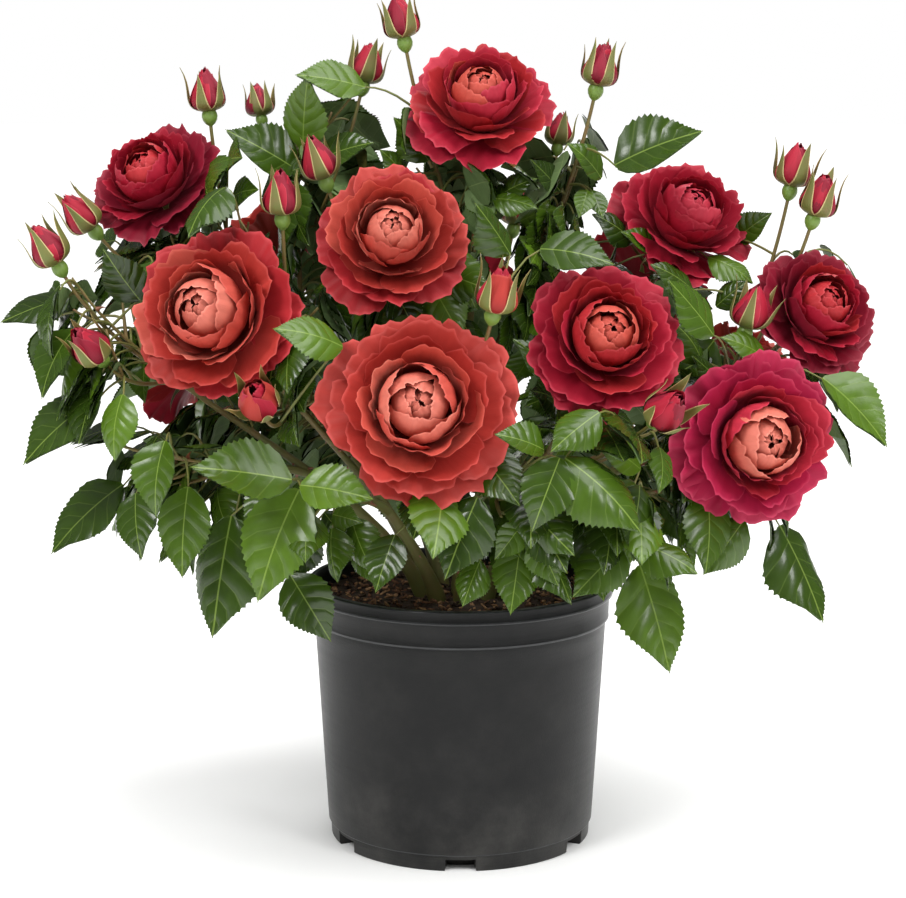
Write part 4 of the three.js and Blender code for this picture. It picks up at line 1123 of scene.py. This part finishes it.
def placeBud(bags, shoot, place, openness, dice):
    line, lean, foot = budLine(shoot, place)
    isGreen = openness < 0
    length = bud["length"] * (budForm["greenScale"] if isGreen else 1.0)
    openness = max(0.0, openness)
    axes = axesOf(lean)
    tube(bags["stems"], line(np.linspace(0, 1, 14)), np.linspace(*budForm["stalk"], 14), 8, stemShade, tip=False)
    hip = np.array(budForm["hip"])
    tube(bags["stems"], foot + lean * length * hip[:, 1:], hip[:, 0] * length, 12, hipShade, tip=False)
    n, rows, columns = budForm["petals"], budForm["rows"], budForm["columns"]
    share = np.linspace(0, 1, n)
    rim, height, rimLean, belly = (between(budForm[key], share) for key in ("rim", "height", "lean", "belly"))
    form = (rim + openness * 0.3 * share, height - openness * 0.1 * share + dice.uniform(-0.03, 0.03, n),
            np.radians(np.full(n, budForm["base"])), np.radians(rimLean + 40 * openness * share), belly)
    points = petalSheets(
        form, np.radians(137.5) * np.arange(n) + dice.uniform(0, 6), np.radians(np.full(n, budForm["spread"])),
        np.full(n, 0.01 + 0.03 * openness), 0.3, 3.2, budForm["furl"], dice.uniform(0, 6.28, (n, 4)),
        budForm["start"], rows, columns)
    names = ["wine", "crimson"] if openness < budForm["paler"] else ["crimson", "brick"]
    shades = np.array([shadeNames.index(names[k % 2]) for k in range(n)])
    base = foot + lean * length * budForm["from"]
    addGrids(bags["blossom"], base + length * points @ axes, gridUvs(rows, columns), shades[:, None])
    outermost = [float(x[-1]) for x in form]
    hugSepals(bags["stems"], base, axes, length, outermost, budForm["start"],
              budForm["greenSepalHalf" if isGreen else "sepalHalf"], dice)


# buds that have opened more or, with -1, are still small and green
openBuds = {
    (-123, -170, 327): 0.3, (22, -150, 388): 0.3, (124, -160, 319): 0.2, (-140, 60, 505): -1, (69, 60, 485): -1,
}

stemMaterials = [
    greenSkin("rose bark green brown", "#5B6B2C", "#6A5230", 0.62),
    greenSkin("young stem red green", "#5F7030", "#7C4A30", 0.5),
    greenSkin("hip skin green", cup["green"], cup["flush"], 0.42),
    greenSkin("sepal green", "#5C7A30", "#7A5A38", 0.55, cup["margin"]),
    greenSkin("thorn horn", "#8A5A3A", "#6E2F26", 0.4),
    greenSkin("leaf stalk", "#65813A", "#7A5A34", 0.5),
]
barkShade, stemShade, hipShade, sepalShade, thornShade, stalkShade = range(len(stemMaterials))

blossomBags = {region: newBag() for region in regions}
stemBags = {region: newBag() for region in regions}
dice = np.random.default_rng(petal["seed"])
for shoot in shoots:
    region = regionOf[shoot["name"]]
    bags = {"blossom": blossomBags[region], "stems": stemBags[region]}
    facing, end = shoot["facing"], shoot["line"]["end"]
    if shoot["bloom"]:
        radius = min(petal["reach"] * shoot["bloom"], petal["widest"]) / 2
        placeBloom(bags["blossom"], end, facing, radius, shoot["palette"], dice)
        places, radii = np.array(cup["hip"]).T
        tube(bags["stems"], end - facing * 2 + facing * places[:, None], radii, 12, hipShade, tip=False)
        placeSepals(bags["stems"], end + facing * 5, facing, sepalShade, dice)
    for place in shoot["buds"]:
        placeBud(bags, shoot, place, openBuds.get(tuple(place), budForm["openness"]), dice)
print("blooms made")


# canes, stems, twigs and leaf stalks
bark = {
    "seed": 19, "caneSteps": 26, "stemSteps": 22, "stemSides": 9, "swell": 0.10, "swellEvery": 26, "intoSoil": 0.04,
    "thornFrom": 0.12, "thornTo": 0.92, "thornSizes": (0.6, 1.1), "stalkFrom": 1.05, "stalkTo": 0.6,
}


def caneTube(bag, shoot, shade, sides, begin, end, radiusAt, steps, tip=False):
    t = np.linspace(begin, end, steps)
    radii = np.array([radiusAt(x) for x in t])
    turn = 2 * math.pi * t * shoot["line"]["span"] / bark["swellEvery"]
    swell = 1 + bark["swell"] * np.maximum(0, np.sin(turn)) ** 8  # thick nodes
    tube(bag, shoot["line"]["at"](t), radii * swell, sides, shade, tip=tip)


def thorn(bag, root, out, down, length):
    # a flat hooked spike on a long foot
    line = quadratic(root, root + out * length * 0.7, root + out * length + down * length * 0.45)
    tube(bag, line(np.linspace(0, 1, 5)), length * np.array([0.34, 0.2, 0.12, 0.07, 0.02]), 6, thornShade, tip=False)


limbBag = newBag()
dice = np.random.default_rng(bark["seed"])
for shoot in shoots:
    stemBag = stemBags[regionOf[shoot["name"]]]
    split, line = shoot["split"], shoot["line"]
    thin = stem["endRadius"] if shoot["bloom"] else stem["twigRadius"] / 2

    def caneRadius(t):
        return limbRadius(shoot, max(0, t) / split)

    def stemRadius(t):
        return cane["tipRadius"] + (thin - cane["tipRadius"]) * (t - split) / (1 - split)
    foot = 0.0 if shoot["source"] else -bark["intoSoil"]
    caneTube(limbBag, shoot, barkShade, cane["sides"], foot, split, caneRadius, bark["caneSteps"])
    caneTube(stemBag, shoot, stemShade, bark["stemSides"], split, 1.0, stemRadius, bark["stemSteps"], tip=True)
    for k in range(cane["thorns"]):
        t = dice.uniform(bark["thornFrom"], bark["thornTo"])
        along = line["tangent"](t)
        side = levelSide(along)
        turn = dice.uniform(0, 6.28)
        out = side * math.cos(turn) + np.cross(along, side) * math.sin(turn)
        onCane = t < split
        root = line["at"](t) + out * (caneRadius(t) if onCane else stemRadius(t)) * 0.7
        length = cane["thornLength"] * dice.uniform(*bark["thornSizes"])
        thorn(limbBag if onCane else stemBag, root, out, -along, length)

sixths = np.linspace(0, 1, 6)
for growth in growths:
    bag = stemBags[regionOf[growth.shoot["name"]]]
    for twig in growth.twigs:
        tube(bag, twigLine(twig)(sixths), np.linspace(stem["twigFrom"], stem["twigTo"], 6), 6, stemShade)
    for plan in growth.leaves:
        points = np.array([plan["stalkAt"](share) for share in sixths])
        tube(bag, points, np.linspace(bark["stalkFrom"], bark["stalkTo"], 6), 5, stalkShade, tip=False)

allLimbs = [f"{'bough' if s['source'] else 'cane'}_{s['name']}" for s in shoots]
makePiece("canes_and_boughs", limbBag, stemMaterials, allLimbs)
for region, names in regions.items():
    makePiece(f"stems_{region}", stemBags[region], stemMaterials)
    flowering = [f"shoot_{name}" for name in names if byName[name]["bloom"]]
    makePiece(f"blossom_{region}", blossomBags[region], petalMaterials, flowering)
print("stems made")


# pot
# the paler edge colour is a painted highlight on the lip, beads and foot step, with some real wear
shell = {
    "hex": "#0E0F10", "wornAndHighlit": "#37393B", "dust": "#6A6864", "roughness": 0.36, "shine": 0.22, "lipRound": 1.2,
    "bead": 0.5, "rubbedRoughness": 0.28,
}


def potProfile(inNotch):
    # radius, height and skin of each row, from the middle of the base, up the wall, over the lip and down inside; skin
    # 1 is the paler edge plastic, a painted highlight with some real wear
    lift = pot["notchHeight"] if inNotch else 0
    lip, band, top = pot["height"] - pot["lipHeight"], pot["height"] - pot["bandHeight"], pot["height"]
    depth, foot, step = pot["footRadius"] - pot["notchDepth"], pot["footRadius"], pot["footHeight"]
    body, girth, rim, bead = pot["bodyRadius"], pot["bandRadius"], pot["rimRadius"], shell["bead"]
    rows = [(0.5, 0, 0), (depth * 0.6, 0, 0), (depth - 0.3, 0, 0), (depth, lift, 0), (foot - 1, lift, 0),
            (foot, max(lift, 0.9), 0), (foot + 0.5, step - 0.6, 0), (foot + 1.5, step, 1), (foot + 2, step + 0.8, 0)]
    for k in range(1, 8):
        rows.append((foot + 2 + (body - foot - 2) * k / 8, step + 0.8 + (band - step - 0.8) * k / 8, 0))
    rows += [(body - 0.1, band - 0.4, 0), (girth - 0.2, band + 0.2, 1), (girth + 0.6 * bead, band + 0.9, 1),
             (girth, band + 1.7, 0), (girth + 0.3, (band + lip) / 2, 0), (girth + 0.5, lip - 0.8, 0),
             (girth + 1.4, lip - 0.2, 0), (rim + 0.6 * bead, lip, 1), (rim + bead, lip + 0.7, 1),
             (rim, lip + 1.6, 0), (rim, top - shell["lipRound"] - 0.4, 0)]
    for k in range(5):
        a = math.pi / 2 * k / 4
        rows.append((rim - shell["lipRound"] * (1 - math.cos(a)), top - shell["lipRound"] * (1 - math.sin(a)), 1))
    inside = girth - pot["wall"]
    rows += [(inside + 0.8, top, 0), (inside, top - 0.8, 0), (inside - 0.1, top - 6, 0), (body - pot["wall"], band, 0),
             (body - pot["wall"] - 1.5, band - 14, 0)]
    return np.array(rows)


fullTurn = 2 * math.pi
notchMiddles = [math.radians(-90 + 360 / pot["notches"] * k) for k in range(pot["notches"])]
halfNotch = pot["notchWidth"] / 2 / pot["footRadius"]
angles = [fullTurn * k / pot["segments"] for k in range(pot["segments"])]
for middle in notchMiddles:  # two close lines make each notch's side a sharp step
    for side in (-1, 1):
        angles += [(middle + side * (halfNotch + step)) % fullTurn for step in (0.002, -0.002)]
angles = np.array(sorted(angles))
fromNotch = np.min([np.abs((angles - middle + math.pi) % fullTurn - math.pi) for middle in notchMiddles], axis=0)
profiles = {flag: potProfile(flag) for flag in (False, True)}
columns = [profiles[bool(gap < halfNotch)] for gap in fromNotch]
rings = np.array([[(row[0] * math.cos(a), row[0] * math.sin(a), row[1]) for a, row in zip(angles, rows)]
                  for rows in zip(*columns)])
potBag = newBag()
uvs = np.stack(np.meshgrid(angles / fullTurn, np.linspace(0, 1, len(rings))), -1)
addGrids(potBag, rings[None], uvs, profiles[False][None, :-1, 2].astype(int), closed=True)

# injection-moulded polypropylene: satin black, fine orange-peel skin, dusty scuffs that gather near the foot
plastic, node, shade = newMaterial("moulded black polypropylene")
objectPlace = node("TexCoord").outputs["Object"]
nearFoot = node("MapRange", node("SeparateXYZ", objectPlace).outputs["Z"], 60 * mm, 0.0)
cloud = node("TexNoise", objectPlace, Scale=scaleOf(45.5), Detail=6.0, Roughness=0.65)
stretched = node("Mapping", objectPlace, Scale=(1.0, 1.0, 12.0))
flowLines = node("TexNoise", stretched, Scale=scaleOf(33.3), Detail=4.0)
dusty = node("Math MULTIPLY", node("Math POWER", cloud, 3.0), node("Math ADD", nearFoot, 0.25))
colour = node("Mix RGBA", dusty, linear(shell["hex"]), linear(shell["dust"]))
wear = node("Math ADD", node("Math MULTIPLY", cloud, 0.6), node("Math MULTIPLY", flowLines, 0.4))
rough = node("MapRange", wear, 0.0, 1.0, shell["roughness"] - 0.08, shell["roughness"] + 0.14)
peel = node("TexNoise", objectPlace, Scale=scaleOf(1.11), Detail=2.0)  # coarser than life, so that it shows
relief = node("Math ADD", peel, node("Math MULTIPLY", flowLines, 2.0))
bump = node("Bump", Height=relief, Strength=0.25, Distance=0.0003)
shade(Base_Color=colour, Roughness=rough, Specular_IOR_Level=shell["shine"], Normal=bump)

# the same plastic on the lip, beads and foot step, paler: a painted highlight with some real rubbing, smoother and
# finely scratched
wornAndHighlit, node, shade = newMaterial("rubbed edge of black polypropylene")
scratch = node("TexNoise", node("TexCoord").outputs["Object"], Scale=scaleOf(6.25), Detail=4.0)
shade(Base_Color=node("Mix RGBA", scratch, linear(shell["hex"]), linear(shell["wornAndHighlit"])),
      Roughness=shell["rubbedRoughness"])
makePiece("pot_shell", potBag, [plastic, wornAndHighlit], ["pot"])
print("pot made")


# compost
mix = {
    "hexes": ["#38271B", "#694832", "#94704F"], "bumps": 3.0, "waves": 14, "sunk": 1.5, "depth": 9, "wallGap": 0.6,
    "roughness": 0.9,
    "long": (2.0, 7.5), "wide": (1.2, 3.5), "thick": (0.6, 1.8), "tilt": 0.35,  # of a chip of bark
}


def crumbly(name, hexColour):
    # damp peat and chipped bark: dark, matt, broken into grains of one to four millimetres
    material, node, shade = newMaterial(name)
    grains = node("TexVoronoi", node("TexCoord").outputs["Object"], Scale=scaleOf(2.38))
    base = linear(hexColour)
    bump = node("Bump", Height=grains, Strength=0.6, Distance=0.001)
    shade(Base_Color=node("Mix RGBA", grains, tinted(base, 0.5), tinted(base, 1.5)), Roughness=mix["roughness"],
          Normal=bump)
    return material


soilBag = newBag()
dice = np.random.default_rng(soil["seed"])
rows, columns = 26, 96
reach = pot["bodyRadius"] - pot["wall"] - mix["wallGap"]
radius = np.linspace(1.0, reach, rows)[:, None]
turn = (fullTurn * np.arange(columns) / columns)[None]
x, y = radius * np.cos(turn), radius * np.sin(turn)
waves = 0
for _ in range(mix["waves"]):
    waves = waves + np.sin(x * dice.uniform(-0.4, 0.4) + y * dice.uniform(-0.4, 0.4) + dice.uniform(0, 6))
z = soil["top"] - mix["sunk"] + mix["bumps"] * (waves / mix["waves"]) - 1.5 * (radius / reach) ** 4
ground = np.stack([x, y, z], -1)
edge = ground[-1:].copy()
edge[..., 2] -= mix["depth"]
addGrids(soilBag, np.concatenate([ground, edge])[None], np.zeros((rows + 1, columns, 2)), [[0]], closed=True)

# chips of bark: flat six-sided blocks that lie about level
n = soil["chips"]
chipAngle, chipRadius = dice.uniform(0, 6.2832, n), (reach - 3) * np.sqrt(dice.random(n))
long, wide, thick = (dice.uniform(*mix[key], n) for key in ("long", "wide", "thick"))
tilt = norm(dice.normal(0, mix["tilt"], (n, 3)) + up)
ahead = norm(np.cross(tilt, norm(dice.normal(size=(n, 3)))))
sideways = np.cross(tilt, ahead)
middle = np.stack([chipRadius * np.cos(chipAngle), chipRadius * np.sin(chipAngle), np.full(n, soil["top"] - 0.5)], -1)
middle[:, 2] += dice.uniform(-1.5, 2.2, n)
outline = np.array([(-1, -0.7), (-0.3, -1), (0.8, -0.8), (1, 0.6), (0.1, 1), (-0.9, 0.5)])
levels = ((-1, 0.05), (-1, 0.9), (0.6, 1.0), (1, 0.7), (1, 0.05))  # height and how far the outline reaches there
chips = np.stack([
    middle[:, None] + ahead[:, None] * (outline[:, 0] * share)[None, :, None] * long[:, None, None] / 2
    + sideways[:, None] * (outline[:, 1] * share)[None, :, None] * wide[:, None, None] / 2
    + (tilt * (level * thick / 2)[:, None])[:, None]
    for level, share in levels], 1)
grains = [crumbly(f"bark and peat {k}", hexColour) for k, hexColour in enumerate(mix["hexes"])]
chipGrains = dice.integers(0, len(grains), n)[:, None]
addGrids(soilBag, chips, np.zeros((len(levels), len(outline), 2)), chipGrains, closed=True)
makePiece("bark_compost", soilBag, grains, ["soil"])
print("compost made")
